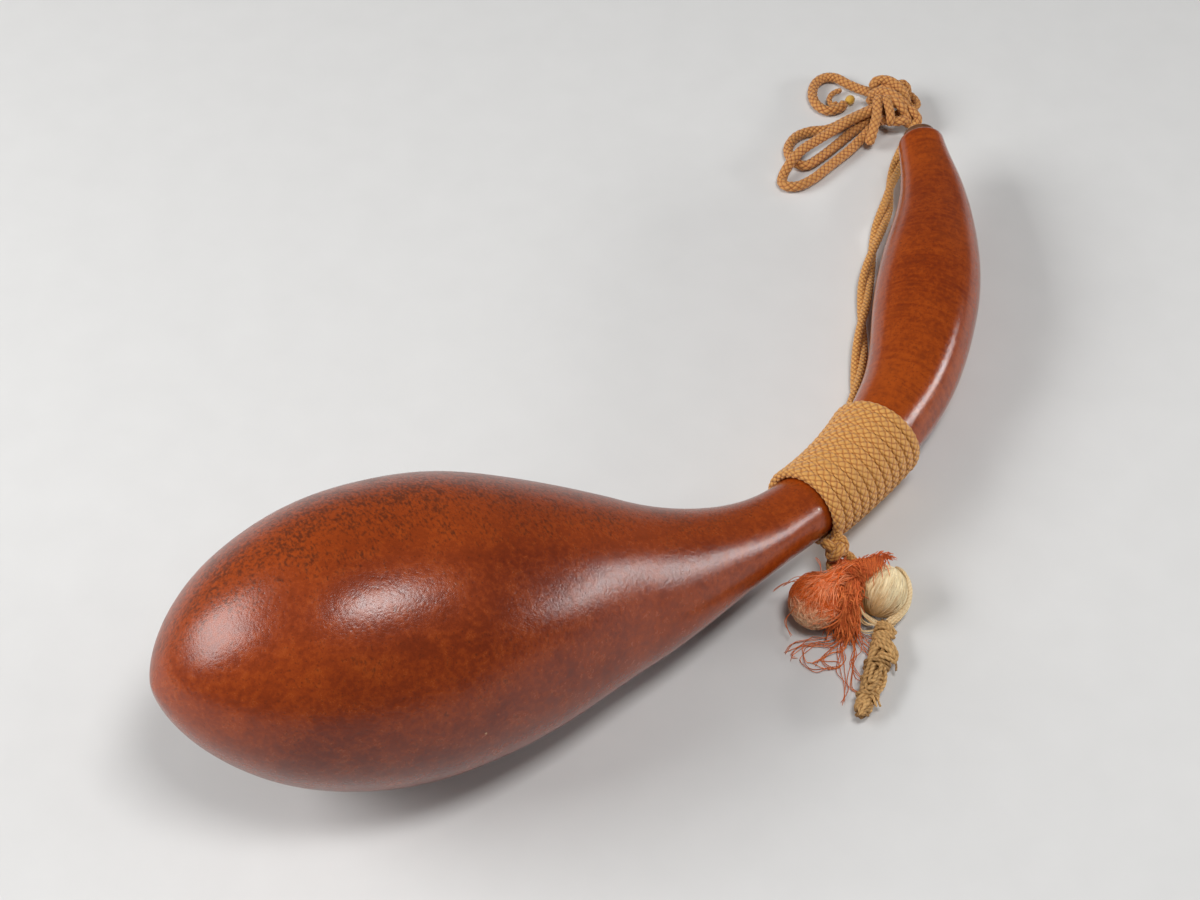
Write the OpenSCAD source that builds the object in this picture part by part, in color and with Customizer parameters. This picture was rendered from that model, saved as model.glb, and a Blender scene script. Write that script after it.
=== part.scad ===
// Long-necked gourd flask, lying on its side as it rests by itself: a hollow dried gourd with a
// turned stopper, a cord wound round its neck, a twisted pair of cords tied in a bow, and a tassel.
// Millimetres, +Z up, origin on the floor under the middle of the gourd.

/* [Gourd outline] */
// Length from the blossom end to the widest place of the big bulb
nose_len = 80; // [70:1:90]
// Length from the widest place of the big bulb to the thinnest place of the neck
taper_len = 149; // [140:1:160]
// Length from the thinnest place of the neck to the widest place of the small bulb
rise_len = 118; // [110:1:126]
// Length from the widest place of the small bulb to the mouth
tip_len = 86; // [80:1:92]
// Widest diameter of the big bulb
belly_d = 96.5; // [88:0.5:104]
// Thinnest diameter of the neck
neck_d = 23.8; // [22:0.2:26]
// Widest diameter of the small bulb
bulb_d = 36.4; // [33:0.2:40]
// Outside diameter at the mouth
mouth_d = 17.6; // [16.8:0.2:20]
// Radius of the rounded edge of the mouth
lip_r = 3; // [2:0.2:3.2]
// Thickness of the dried rind
rind = 4.5; // [3.5:0.1:5]

/* [Gourd bends] */
// Turn of the big bulb's axis, as the gourd grew
belly_bend = -3; // [-6:1:3]
// Turn of the neck's axis
neck_bend = 47; // [42:1:52]
// Turn of the small bulb's axis
bulb_bend = 29; // [24:1:34]

/* [How it lies] */
// Compass heading of the axis at the blossom end
start_heading = 24.5; // [20:0.5:30]
// Roll about the line through its two resting places
lie_roll = 14; // [11:1:17]
// Depth of the two worn patches that it rests on
worn_depth = 0.4; // [0.3:0.1:0.6]

/* [Mouth and stopper] */
// Diameter of the mouth's bore
bore_d = 9; // [8:0.2:9.4]
// Length of the mouth's bore
bore_len = 14; // [11:0.5:15]
// Gap all round between stopper and bore
plug_gap = 0.1; // [0.05:0.05:0.2]
// Length of the stopper's plug
plug_len = 13; // [10:0.5:14]
// Diameter of the stopper's head
head_d = 12.4; // [11.6:0.2:13]
// Thickness of the stopper's head
head_h = 2.8; // [2.4:0.2:4]

/* [Neck winding] */
// Distance of the first turn from the thinnest place of the neck
winding_start = 6.3; // [5.3:0.5:8.3]
// Width of the wound cord
winding_w = 3.4; // [3:0.1:3.5]
// Thickness of the wound cord, pulled flat
winding_t = 3; // [2.4:0.1:3.2]
// Distance from one turn to the next
winding_pitch = 4.2; // [4.1:0.1:4.6]
// Number of turns
winding_turns = 10.3; // [8.3:1:10.3]

/* [Cords] */
// Diameter of the braided cord where it is slack
cord_d = 4; // [3.6:0.1:4.1]
// Diameter of each cord of the twisted pair
twin_d = 2.7; // [2.4:0.1:2.9]
// Distance between the centres of the twisted pair
twin_gap = 3.1; // [3.1:0.1:3.6]
// Length in which the pair crosses once
twin_cross = 37; // [33:1:41]
// Radius of the bow's knot to the middle of its cord
knot_r = 8; // [7.6:0.1:8.4]
// Height of the bow's knot between the middles of its cord
knot_h = 8.4; // [8:0.1:9]

/* [Tassel] */
// Radius of the hanging knot under the winding
tassel_knot_r = 4.6; // [4:0.1:4.8]
// Middle radius of the cord ring
ring_r = 4.4; // [4:0.1:4.8]
// Diameter of the ring's cord
ring_d = 3.2; // [2.8:0.1:3.4]
// Diameter of the orange silk ball
orange_d = 19; // [17:0.5:20]
// Diameter of the cream silk ball
cream_d = 18; // [16:0.5:19]
// Distance between the centres of the two balls
ball_span = 23.5; // [23:0.5:26]
// Distance from the hanging knot to the middle of the two balls
ball_drop = 17; // [16:0.5:19]
// Thickness of the bundle of silk threads laid over the two balls
threads_d = 8.2; // [6.6:0.2:8.4]
// Length of the wound tail
tail_len = 40; // [34:1:44]
// Thickness of the wound tail where it is thin
tail_d = 5.6; // [5:0.2:6]
// Thickness of the cord bound round the tail's root
collar_d = 1.8; // [1.4:0.1:2]

/* [Hidden] */

// Clearance of a seated piece from its seat
seat = 0.3;
// Overrun of every cut
overrun = 2;
skin_sides = 40;
cavity_sides = 28;
cord_sides = 8;

// Pure numbers that shape the outline between its named sizes: 1 is a plain cosine, less is fuller
taper_full_share = 1.03;
rise_full_share = 1.31;
tip_full_share = 0.73;
// Pure numbers that shape the blunt, slightly pointed blossom end
nose_power_share = 2.15;
nose_root_share = 1.59;
// Shares of the length that each bend takes, the last of them straight behind the mouth
bend_shares = [0.36, 0.36, 0.24, 0.04];
bend_turns = [belly_bend, neck_bend, bulb_bend, 0];

gourd_len = nose_len + taper_len + rise_len + tip_len;
neck_at = nose_len + taper_len;
bulb_at = neck_at + rise_len;
belly_r = belly_d / 2;
neck_r = neck_d / 2;
bulb_r = bulb_d / 2;
mouth_r = mouth_d / 2;

// The axis is a chain of arcs in one plane: [start point, start heading, distance] of each arc
function arc_end(p, h, len, turn) = turn == 0
    ? p + len * [cos(h), sin(h)]
    : let (r = len * 180 / PI / turn) p + r * [sin(h + turn) - sin(h), cos(h) - cos(h + turn)];
bends = [for (i = 0, p = [0, 0], h = start_heading, s = 0; i < len(bend_turns);
    p = arc_end(p, h, bend_shares[i] * gourd_len, bend_turns[i]),
    s = s + bend_shares[i] * gourd_len,
    h = h + bend_turns[i],
    i = i + 1) [p, h, s]];
function bend_at(s, i = len(bend_turns) - 1) = i == 0 || bends[i][2] <= s ? i : bend_at(s, i - 1);
function heading(s) = let (i = bend_at(s))
    bends[i][1] + bend_turns[i] * (s - bends[i][2]) / (bend_shares[i] * gourd_len);
function flat_axis(s) = let (i = bend_at(s))
    let (q = arc_end(bends[i][0], bends[i][1], s - bends[i][2], heading(s) - bends[i][1]))
    [q[0], q[1], 0];

// Radius of the rind's outside at a distance along the axis
function ease(t, full) = pow((1 + cos(180 * min(max(t, 0), 1))) / 2, full);
function blunt(t) = pow(1 - pow(1 - t, nose_power_share), 1 / nose_root_share);
function lip_cut(s) = s <= gourd_len - lip_r ? 0
    : lip_r - sqrt(max(0, pow(lip_r, 2) - pow(s - gourd_len + lip_r, 2)));
function skin_r(s) =
    s < nose_len ? belly_r * blunt(s / nose_len)
    : s < neck_at ? neck_r + (belly_r - neck_r) * ease((s - nose_len) / taper_len, taper_full_share)
    : s < bulb_at ? neck_r + (bulb_r - neck_r) * ease(1 - (s - neck_at) / rise_len, rise_full_share)
    : mouth_r + (bulb_r - mouth_r) * ease((s - bulb_at) / tip_len, tip_full_share) - lip_cut(s);
function cavity_r(s) = s < nose_len
    ? (belly_r - rind) * blunt((s - rind) / (nose_len - rind))
    : skin_r(s) - rind;

// Turning of the gourd's own plane on to the floor, about the line through its two bulbs
function turn_x(a) = [[1, 0, 0], [0, cos(a), -sin(a)], [0, sin(a), cos(a)]];
function turn_y(a) = [[cos(a), 0, sin(a)], [0, 1, 0], [-sin(a), 0, cos(a)]];
function turn_z(a) = [[cos(a), -sin(a), 0], [sin(a), cos(a), 0], [0, 0, 1]];
bulb_line = flat_axis(bulb_at) - flat_axis(nose_len);
line_heading = atan2(bulb_line[1], bulb_line[0]);
function lying(pitch) =
    turn_z(line_heading) * turn_y(pitch) * turn_x(lie_roll) * turn_z(-line_heading);
function along(s) = [cos(heading(s)), sin(heading(s)), 0];
function across(s) = [-sin(heading(s)), cos(heading(s)), 0];

// Rings of the rind, closer together at both ends
nose_rings = 10;
taper_rings = 14;
rise_rings = 10;
tip_rings = 9;
lip_rings = 3;
stations = concat(
    [for (i = [1:nose_rings - 1]) nose_len * (1 - cos(90 * i / nose_rings))],
    [for (i = [0:taper_rings - 1]) nose_len + taper_len * i / taper_rings],
    [for (i = [0:rise_rings - 1]) neck_at + rise_len * i / rise_rings],
    [for (i = [0:tip_rings]) bulb_at + (tip_len - lip_r) * i / tip_rings],
    [for (i = [1:lip_rings]) gourd_len - lip_r + lip_r * sin(90 * i / lip_rings)]);

// Height of the lowest point between two stations at a pitch, and the pitch that levels both bulbs
function lowest(pitch, from, to) = let (m = lying(pitch))
    min([for (s = stations) if (s >= from && s <= to)
        (m * flat_axis(s))[2] - skin_r(s) * sqrt(1 - pow((m * along(s))[2], 2))]);
function levelled(pitch, tries) = tries == 0 ? pitch
    : levelled(pitch + asin((lowest(pitch, neck_at, gourd_len) - lowest(pitch, 0, neck_at))
        / norm(bulb_line)), tries - 1);
lie_pitch = levelled(asin((belly_r - bulb_r) / norm(bulb_line)), 5);
lie = lying(lie_pitch);

// A point beside the axis, at an angle that runs from the inner side of the bend over the top
function beside(s, a, r) = lie * (flat_axis(s) + r * (cos(a) * across(s) + sin(a) * [0, 0, 1]));
function skin_ring(s, r, sides) = [for (j = [0:sides - 1]) beside(s, 360 * j / sides, r)];

// Stopper: [distance from the mouth, radius] of its outline, and how far it reaches
plug_r = bore_d / 2 - plug_gap;
head_r = head_d / 2;
dome_steps = 6;
rim_share = 1 / 3;
head_shape = concat(
    [[seat, plug_r], [seat, head_r]],
    [for (i = [0:dome_steps]) [
        seat + head_h * (rim_share + (1 - rim_share) * sin(90 * i / dome_steps)),
        head_r * (1 - (1 - rim_share) * pow(1 - cos(90 * i / dome_steps), 2))]]);
mouth_way = lie * along(gourd_len);
mouth_raw = lie * flat_axis(gourd_len);

// The origin lies on the floor under the middle of the gourd and its stopper
skin_points = [for (s = stations) for (p = skin_ring(s, skin_r(s), skin_sides)) p];
function reach(i) = max([for (q = head_shape)
    mouth_raw[i] + q[0] * mouth_way[i] + q[1] * sqrt(1 - pow(mouth_way[i], 2))]);
function high(i) = max(max([for (p = skin_points) p[i]]), reach(i));
function less(i) = min([for (p = skin_points) p[i]]);
home = [(less(0) + high(0)) / 2, (less(1) + high(1)) / 2,
    lowest(lie_pitch, 0, gourd_len) + worn_depth];
function axis_at(s) = lie * flat_axis(s) - home;
mouth_at = mouth_raw - home;

// Skins between rings of points: the first and last ring are closed by a face, or joined
function wall_faces(rings, sides, from = 0) = [for (i = [0:rings - 2]) for (j = [0:sides - 1])
    for (f = [
        [i * sides + j, (i + 1) * sides + j, (i + 1) * sides + (j + 1) % sides],
        [i * sides + j, (i + 1) * sides + (j + 1) % sides, i * sides + (j + 1) % sides]])
        [for (k = f) k + from]];
module tube(rings) {
    sides = len(rings[0]);
    count = len(rings);
    ends = [[for (j = [0:sides - 1]) j], [for (j = [1:sides]) count * sides - j]];
    polyhedron([for (ring = rings) for (p = ring) p], concat(wall_faces(count, sides), ends));
}
module closed_tube(rings) {
    sides = len(rings[0]);
    count = len(rings);
    faces = [for (f = wall_faces(count + 1, sides)) [for (k = f) k % (count * sides)]];
    polyhedron([for (ring = rings) for (p = ring) p], faces);
}

// A smooth line through a list of points, and the rings of a cord along it
function curve_point(p0, p1, p2, p3, t) = 0.5 * (2 * p1 + (p2 - p0) * t
    + (2 * p0 - 5 * p1 + 4 * p2 - p3) * pow(t, 2) + (3 * p1 - p0 - 3 * p2 + p3) * pow(t, 3));
function smooth(pts, steps) = let (n = len(pts)) concat(
    [for (i = [0:n - 2]) for (k = [0:steps - 1])
        curve_point(pts[max(i - 1, 0)], pts[i], pts[i + 1], pts[min(i + 2, n - 1)], k / steps)],
    [pts[n - 1]]);
function unit(v) = v / norm(v);
function way_at(line, i) =
    unit(line[min(i + 1, len(line) - 1)] - line[max(i - 1, 0)]);
function level_side(w) = unit([-w[1], w[0], 0]);
function cord_ring(c, w, r, sides) = let (u = level_side(w), v = cross(w, u))
    [for (j = [0:sides - 1]) c + r * (cos(360 * j / sides) * u + sin(360 * j / sides) * v)];
function cord_rings(line, d) =
    [for (i = [0:len(line) - 1]) cord_ring(line[i], way_at(line, i), d / 2, cord_sides)];
module cord(line, d) {
    tube(cord_rings(line, d));
}

// Routes of the cords over the floor, points chosen by hand
twin_route = [[82.5, 12.5, 8.5], [84, 17, 7.5], [86.5, 23, 5.5], [88.5, 31, 4.2], [90.5, 41, 4],
    [92.5, 53, 4], [94.5, 68.5, 4], [96.5, 82, 4], [98.5, 95, 4], [102, 110, 4], [105.5, 123, 4],
    [109.5, 135.5, 4], [112, 147, 4], [114.5, 158, 4], [117.5, 168.5, 4], [121, 178.5, 4],
    [123.5, 185, 5], [121, 191, 7.5]];
long_route = [[113, 191, 9], [99, 183.5, 7.5], [91, 177.5, 7], [84, 172, 6.6], [77, 165.5, 6.6],
    [71.5, 158.5, 4.5], [69, 153, 2.4], [70.5, 149.5, 2.4], [75.5, 149.5, 2.4], [82, 154, 2.4],
    [89, 161.5, 2.4], [97, 170, 2.4], [104, 178.5, 3.2], [112.5, 189, 5]];
short_route = [[112, 194.5, 6], [99, 188.5, 3.5], [90, 183.5, 2.4], [82, 182, 2.4],
    [76, 178.5, 2.4], [72.5, 171.5, 2.4], [74, 164.5, 2.4], [79, 161.5, 2.4], [85.5, 166.5, 2.4],
    [93, 174.5, 2.4], [100.5, 182.5, 2.8], [110, 190, 4.5]];
front_route = [[110.5, 193, 12], [109.5, 188, 12.2], [109, 183.5, 11.2], [108, 179.5, 9.8],
    [107, 176, 7.6], [106, 174, 5], [105.5, 173, 3]];
side_route = [[117, 201, 9], [120.5, 204, 9], [123.5, 204, 8], [124, 200.5, 7], [126, 197.5, 7],
    [127, 193.5, 7], [124, 191, 6.5], [119.5, 191.5, 8]];
curl_route = [[112, 201.5, 6], [106, 207, 3], [100, 211.5, 2.4], [95, 215.5, 2.4],
    [90, 215.5, 2.4], [86, 211.5, 2.4], [84.5, 204.5, 2.4], [86, 198.5, 2.4], [90, 195, 2.4],
    [95, 196.5, 2.4], [98, 200, 2.4]];
thin_route = [[97, 208.5, 2], [93.5, 206.5, 2], [91.5, 203, 2], [92, 199.5, 2], [95, 199.8, 2]];
bow_at = [117, 195.5, 7.4];
thin_d = 2.2;
bead_d = 4;
bead_shares = [0.5, 0.4, 0];
cord_steps = 2;

// The twisted pair: each cord runs round the route, half a turn from the other
twin_angle = 145;
twin_line = smooth(twin_route, cord_steps);
function run(line, i) = i == 0 ? 0 : run(line, i - 1) + norm(line[i] - line[i - 1]);
function twin_strand(phase) = [for (i = [0:len(twin_line) - 1])
    let (w = way_at(twin_line, i), u = level_side(w), v = cross(w, u))
    let (a = twin_angle + phase + 180 * run(twin_line, i) / twin_cross)
    twin_line[i] + twin_gap / 2 * (cos(a) * u + sin(a) * v)];

// The winding: one flattened cord in a helix on the neck, laid from the floor side upwards
winding_from = neck_at + winding_start;
winding_side_angle = 262;
loop_rings = 24;
winding_rings = round(winding_turns * loop_rings);
function winding_s(i) = winding_from + winding_pitch * i / loop_rings;
function winding_a(i) = winding_side_angle + 360 * i / loop_rings;
function winding_point(i) = let (s = winding_s(i))
    beside(s, winding_a(i), skin_r(s) + seat + winding_t / 2) - home;
function winding_ring(i) =
    let (s = winding_s(i), a = winding_a(i), c = winding_point(i))
    let (out = unit(c - axis_at(s)), w = unit(winding_point(i + 1) - winding_point(i - 1)))
    let (u = cross(out, w))
    [for (j = [0:5]) c + winding_w / 2 * cos(60 * j) * u
        + winding_t / 2 * sin(60 * j) / sin(60) * out];
// Both ends run straight on for one width
function straight_end(i, way) = let (w = way * unit(winding_point(i + 1) - winding_point(i - 1)))
    [for (p = winding_ring(i)) p + winding_w * w];
winding_tube = concat([straight_end(0, -1)], [for (i = [0:winding_rings]) winding_ring(i)],
    [straight_end(winding_rings, 1)]);
winding_gap = min([for (i = [0:winding_rings + 2 - loop_rings])
    for (j = [loop_rings - 1:loop_rings + 1])
    if (i + j < len(winding_tube)) for (p = winding_tube[i]) for (q = winding_tube[i + j])
        norm(p - q)]);
echo(winding_gap = winding_gap);

// The tassel hangs from a knot beside the first turn, and its balls lie on the floor
knot_side_angle = 184;
knot_at = beside(winding_from - winding_w / 2, knot_side_angle,
    skin_r(winding_from) + seat + tassel_knot_r) - home;
lobe_share = 0.64;
lobe_r = tassel_knot_r * lobe_share;
lobe_angle = 120;
ring_tilt = 28;
ring_angle = -62;
ring_at = knot_at + [ring_r * cos(ring_angle), ring_r * sin(ring_angle),
    -lobe_r - seat - ring_d / 2 - ring_r * sin(ring_tilt)];
function on_floor(p, h) = [p[0], p[1], h];
function level(a) = [cos(a), sin(a), 0];
orange_r = orange_d / 2;
cream_r = cream_d / 2;
drop_angle = -77;
span_angle = 12;
balls_at = knot_at + ball_drop * level(drop_angle);
orange_at = on_floor(balls_at - ball_span / 2 * level(span_angle), orange_r + seat);
cream_at = on_floor(balls_at + ball_span / 2 * level(span_angle), cream_r + seat);

// The bundle of threads comes out of the ring and lies over the groove between the balls, in a
// ball's radius and its own: [towards the front, height, thickness]
thread_shares = [[-0.42, 1.32, 0.7], [-0.2, 1.68, 0.9], [0.1, 1.8, 1], [0.45, 1.6, 1],
    [0.8, 1.2, 1], [1.05, 0.75, 0.9], [1.2, 0.4, 0.5]];
root_size_share = 0.45;
thread_steps = 2;
groove_at = balls_at + (orange_r - cream_r) / 2 * level(span_angle);
thread_root_r = threads_d / 2 * root_size_share;
thread_root = ring_at - [0, 0, ring_r * sin(ring_tilt) / 2]
    + (ring_r * cos(ring_tilt) + ring_d / 2 + seat + thread_root_r) * level(drop_angle);
thread_line = smooth(concat([thread_root], [for (q = thread_shares) on_floor(groove_at, 0)
    + orange_r * q[0] * level(span_angle - 90) + [0, 0, orange_r * q[1]]]), thread_steps);
thread_sizes = smooth(concat([thread_root_r],
    [for (q = thread_shares) threads_d / 2 * q[2]]), thread_steps);

// The tail lies on the floor, bound at its root in front of the cream ball
tail_r = tail_d / 2;
tail_angle = -106;
tail_side_angle = -90;
waist_share = 0.68;
waist_r = tail_r * waist_share;
collar_r = waist_r + seat + collar_d / 2;
collar_at_share = 0.08;
tail_height = collar_r + collar_d / 2 + seat;
root_reach = sqrt(pow(cream_r + seat + waist_r, 2) - pow(cream_r + seat - tail_height, 2));
tail_root = on_floor(cream_at + root_reach * level(tail_side_angle), tail_height);
// Its rings: [share of the length, half width, half height, shift to the right]
tail_shares = [[0, 0.68, 0.68, 0], [0.12, 0.68, 0.68, 0], [0.15, 0.85, 0.85, 0.1],
    [0.2, 0.9, 0.9, 0.1], [0.25, 1.15, 1, 0.3], [0.31, 1.35, 1.1, 0.45], [0.38, 1.38, 1.15, 0.45],
    [0.45, 1.25, 1.1, 0.3], [0.54, 1.25, 1.1, 0.3], [0.63, 1.25, 1.1, 0.3], [0.7, 1.1, 1.05, 0.2],
    [0.77, 1, 1, 0.1], [0.83, 0.92, 0.95, 0], [0.91, 1, 1, 0], [0.97, 0.75, 0.75, 0],
    [1, 0.3, 0.3, 0]];
tail_sides = 12;
function tail_ring(along, wide, high, shift) = [for (j = [0:tail_sides - 1])
    let (a = 360 * j / tail_sides) tail_root + along * level(tail_angle)
    + (shift + wide * cos(a)) * level(tail_angle + 90) + [0, 0, high * sin(a)]];
tail_rings = concat(
    [for (a = [20, 50]) tail_ring(-waist_r * cos(a), waist_r * sin(a), waist_r * sin(a), 0)],
    [for (q = tail_shares)
        tail_ring(tail_len * q[0], tail_r * q[1], tail_r * q[2], tail_r * q[3])]);

module placed_along(p, w) {
    translate(p) rotate([0, acos(w[2]), atan2(w[1], w[0])]) children();
}

module skin() {
    rings = [for (s = stations) [for (p = skin_ring(s, skin_r(s), skin_sides)) p - home]];
    sides = skin_sides;
    count = len(rings);
    nose = [for (j = [0:sides - 1]) [0, 1 + j, 1 + (j + 1) % sides]];
    mouth = [[for (j = [1:sides]) 1 + count * sides - j]];
    points = concat([axis_at(0)], [for (ring = rings) for (p = ring) p]);
    polyhedron(points, concat(nose, wall_faces(count, sides, 1), mouth));
}

first_share = 0.025;
module cavity() {
    first = rind + nose_len * first_share;
    last = gourd_len - bore_len;
    inner = concat([first], [for (s = stations) if (s > first + rind && s < last - rind) s], [last]);
    tube([for (s = inner) [for (p = skin_ring(s, cavity_r(s), cavity_sides)) p - home]]);
}

module gourd_shell() {
    color([0.45, 0.17, 0.07]) difference() {
        skin();
        cavity();
        placed_along(mouth_at - (bore_len + overrun) * mouth_way, mouth_way)
            cylinder(h = bore_len + 2 * overrun, d = bore_d, $fn = 48);
        translate([-gourd_len, -gourd_len, -belly_d])
            cube([2 * gourd_len, 2 * gourd_len, belly_d]);
    }
}

taper_share = 0.2;
module stopper() {
    taper = plug_r * taper_share;
    outline = concat(
        [[0, -plug_len], [plug_r - taper, -plug_len], [plug_r, -plug_len + 2 * taper]],
        [for (q = head_shape) [q[1], q[0]]],
        [[0, seat + head_h]]);
    color([0.30, 0.16, 0.08]) placed_along(mouth_at, mouth_way)
        rotate_extrude($fn = 48) polygon(outline);
}

module neck_winding() {
    color([0.72, 0.47, 0.22]) tube(winding_tube);
}

module twin_cord_a() {
    color([0.70, 0.45, 0.20]) cord(twin_strand(0), twin_d);
}

module twin_cord_b() {
    color([0.70, 0.45, 0.20]) cord(twin_strand(180), twin_d);
}

// The bow's knot is a trefoil: three crossings, one closed cord
module bow_knot() {
    knot_rings = 42;
    unit_r = knot_r / 3;
    function trefoil(a) = bow_at + [unit_r * (sin(a) + 2 * sin(2 * a)),
        unit_r * (cos(a) - 2 * cos(2 * a)), -knot_h / 2 * sin(3 * a)];
    color([0.74, 0.49, 0.24]) closed_tube([for (i = [0:knot_rings - 1])
        let (a = 360 * i / knot_rings, w = unit(trefoil(a + 1) - trefoil(a - 1)))
        cord_ring(trefoil(a), w, cord_d / 2, cord_sides)]);
}

module bow_loop_long() {
    color([0.74, 0.49, 0.24]) cord(smooth(long_route, cord_steps), cord_d);
}

module bow_loop_short() {
    color([0.74, 0.49, 0.24]) cord(smooth(short_route, cord_steps), cord_d);
}

module bow_loop_front() {
    color([0.74, 0.49, 0.24]) cord(smooth(front_route, cord_steps), cord_d);
}

module bow_loop_side() {
    color([0.74, 0.49, 0.24]) cord(smooth(side_route, cord_steps), twin_d);
}

module cord_end_curl() {
    color([0.74, 0.49, 0.24]) cord(smooth(curl_route, cord_steps), cord_d);
}

module cord_end_thin() {
    color([0.70, 0.45, 0.20]) cord(smooth(thin_route, cord_steps), thin_d);
}

module end_bead() {
    last = curl_route[len(curl_route) - 1];
    color([0.66, 0.52, 0.16]) translate(last + bead_d * bead_shares)
        sphere(d = bead_d, $fn = 24);
}

module tassel_knot() {
    color([0.70, 0.42, 0.20]) translate(knot_at) for (i = [0:2]) rotate([0, 0, lobe_angle + 120 * i])
        translate([tassel_knot_r - lobe_r, 0, 0]) sphere(r = lobe_r, $fn = 28);
}

module tassel_ring() {
    color([0.66, 0.38, 0.18]) translate(ring_at) rotate([0, ring_tilt, ring_angle])
        rotate_extrude($fn = 36) translate([ring_r, 0]) circle(d = ring_d, $fn = 16);
}

module pompom_orange() {
    color([0.80, 0.36, 0.18]) translate(orange_at) sphere(d = orange_d, $fn = 40);
}

module pompom_cream() {
    color([0.80, 0.66, 0.48]) translate(cream_at) sphere(d = cream_d, $fn = 40);
}

module thread_heap() {
    color([0.72, 0.22, 0.10]) tube([for (i = [0:len(thread_line) - 1])
        cord_ring(thread_line[i], way_at(thread_line, i), thread_sizes[i], 16)]);
}

module tail_collar() {
    color([0.62, 0.48, 0.30]) placed_along(tail_root + tail_len * collar_at_share * level(tail_angle),
        level(tail_angle))
        rotate_extrude($fn = 32) translate([collar_r, 0]) circle(d = collar_d, $fn = 16);
}

module tassel_tail() {
    color([0.68, 0.54, 0.36]) tube(tail_rings);
}

gourd_shell();
stopper();
neck_winding();
twin_cord_a();
twin_cord_b();
bow_knot();
bow_loop_long();
bow_loop_short();
bow_loop_front();
bow_loop_side();
cord_end_curl();
cord_end_thin();
end_bead();
tassel_knot();
tassel_ring();
pompom_orange();
pompom_cream();
thread_heap();
tail_collar();
tassel_tail();
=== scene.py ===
# %% [markdown]
# # A gourd flask with a cord, a bow and a silk tassel
# A long dried gourd lies on its side. It is hollow, lacquered red-brown, and closed by a small
# turned stopper. A braided cord is wound round its neck, runs on as a twisted pair past the mouth
# and ends in a loose bow. A silk tassel of two balls, a heap of threads and a wound tail hangs
# from the winding. Each cell makes one thing, and the text before it says what that thing is on
# the real object, how it could be made, and why it is made this way.

# %% Start
import math

import bpy
import numpy as np
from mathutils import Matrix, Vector


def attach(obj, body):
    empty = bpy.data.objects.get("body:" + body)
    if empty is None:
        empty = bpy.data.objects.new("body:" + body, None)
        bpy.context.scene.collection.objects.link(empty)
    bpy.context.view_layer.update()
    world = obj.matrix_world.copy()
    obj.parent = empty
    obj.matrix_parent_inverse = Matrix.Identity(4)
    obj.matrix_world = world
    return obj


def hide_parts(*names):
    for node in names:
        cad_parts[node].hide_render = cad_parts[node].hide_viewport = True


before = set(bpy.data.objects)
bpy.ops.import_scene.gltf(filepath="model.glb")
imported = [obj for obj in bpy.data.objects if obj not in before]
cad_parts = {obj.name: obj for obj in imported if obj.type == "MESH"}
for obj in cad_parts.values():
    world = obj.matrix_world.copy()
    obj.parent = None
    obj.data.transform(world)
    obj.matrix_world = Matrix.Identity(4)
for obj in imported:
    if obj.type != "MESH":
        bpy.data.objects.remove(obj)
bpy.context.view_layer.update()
MM = 0.001

# %% [markdown]
# ## Camera and lamps
# The flask is seen from above its front at 50 degrees through a long lens, so that both bulbs
# keep their proportions. A long low lamp on the right draws the streak along the neck, a broad
# one on the left the wide sheen on the big bulb, and a small one above the bright patch on its
# back. Area lamps are used because their size, not their strength, decides how soft a gloss looks.

# %% Camera and lamps
AIM = Vector((-4.5 * MM, 12.65 * MM, 0))
DOWN, EYE_AWAY, LAMP_AWAY = math.radians(50), 0.8, 1.3
LENS, SENSOR = 66, 36


def placed(name, data):
    """A new object in the scene, at the origin."""
    one = bpy.data.objects.new(name, data)
    bpy.context.scene.collection.objects.link(one)
    return one


eye = placed("eye", bpy.data.cameras.new("eye"))
eye.data.lens, eye.data.sensor_width = LENS, SENSOR
eye.location = AIM - EYE_AWAY * Vector((0, math.cos(DOWN), -math.sin(DOWN)))
eye.rotation_euler = (math.pi / 2 - DOWN, 0, 0)
bpy.context.scene.camera = eye


def lamp(name, way, size, power, spread=180):
    """An oblong area lamp in a direction from the flask, turned to face it. A spread under 180
    degrees is a grid before it, which keeps its light off the floor below."""
    data = bpy.data.lights.new(name, "AREA")
    data.spread = math.radians(spread)
    data.shape, data.size, data.size_y, data.energy = "RECTANGLE", *size, power
    one, way = placed(name, data), Vector(way).normalized()
    one.location = AIM + LAMP_AWAY * way
    one.rotation_euler = way.to_track_quat("Z", "Y").to_euler()


lamp("right_lamp", (0.95, 0.05, 0.26), (0.70, 0.135), 2.5, spread=120)
lamp("left_lamp", (-0.80, -0.12, 0.59), (0.86, 0.58), 14.6)
lamp("top_lamp", (0.19, -0.26, 0.94), (0.44, 0.26), 7.8)
bpy.context.scene.view_settings.view_transform = "Standard"

# %% [markdown]
# ## Shader maths written as Python
# A finish is a small sum on each point of the surface: cells of a braid, spots of a rind. Nodes
# could be placed and wired one by one, but a sum is easier to read as a sum. So a value that
# varies over the surface is wrapped in a class whose operators add the Math node that they mean.

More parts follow.
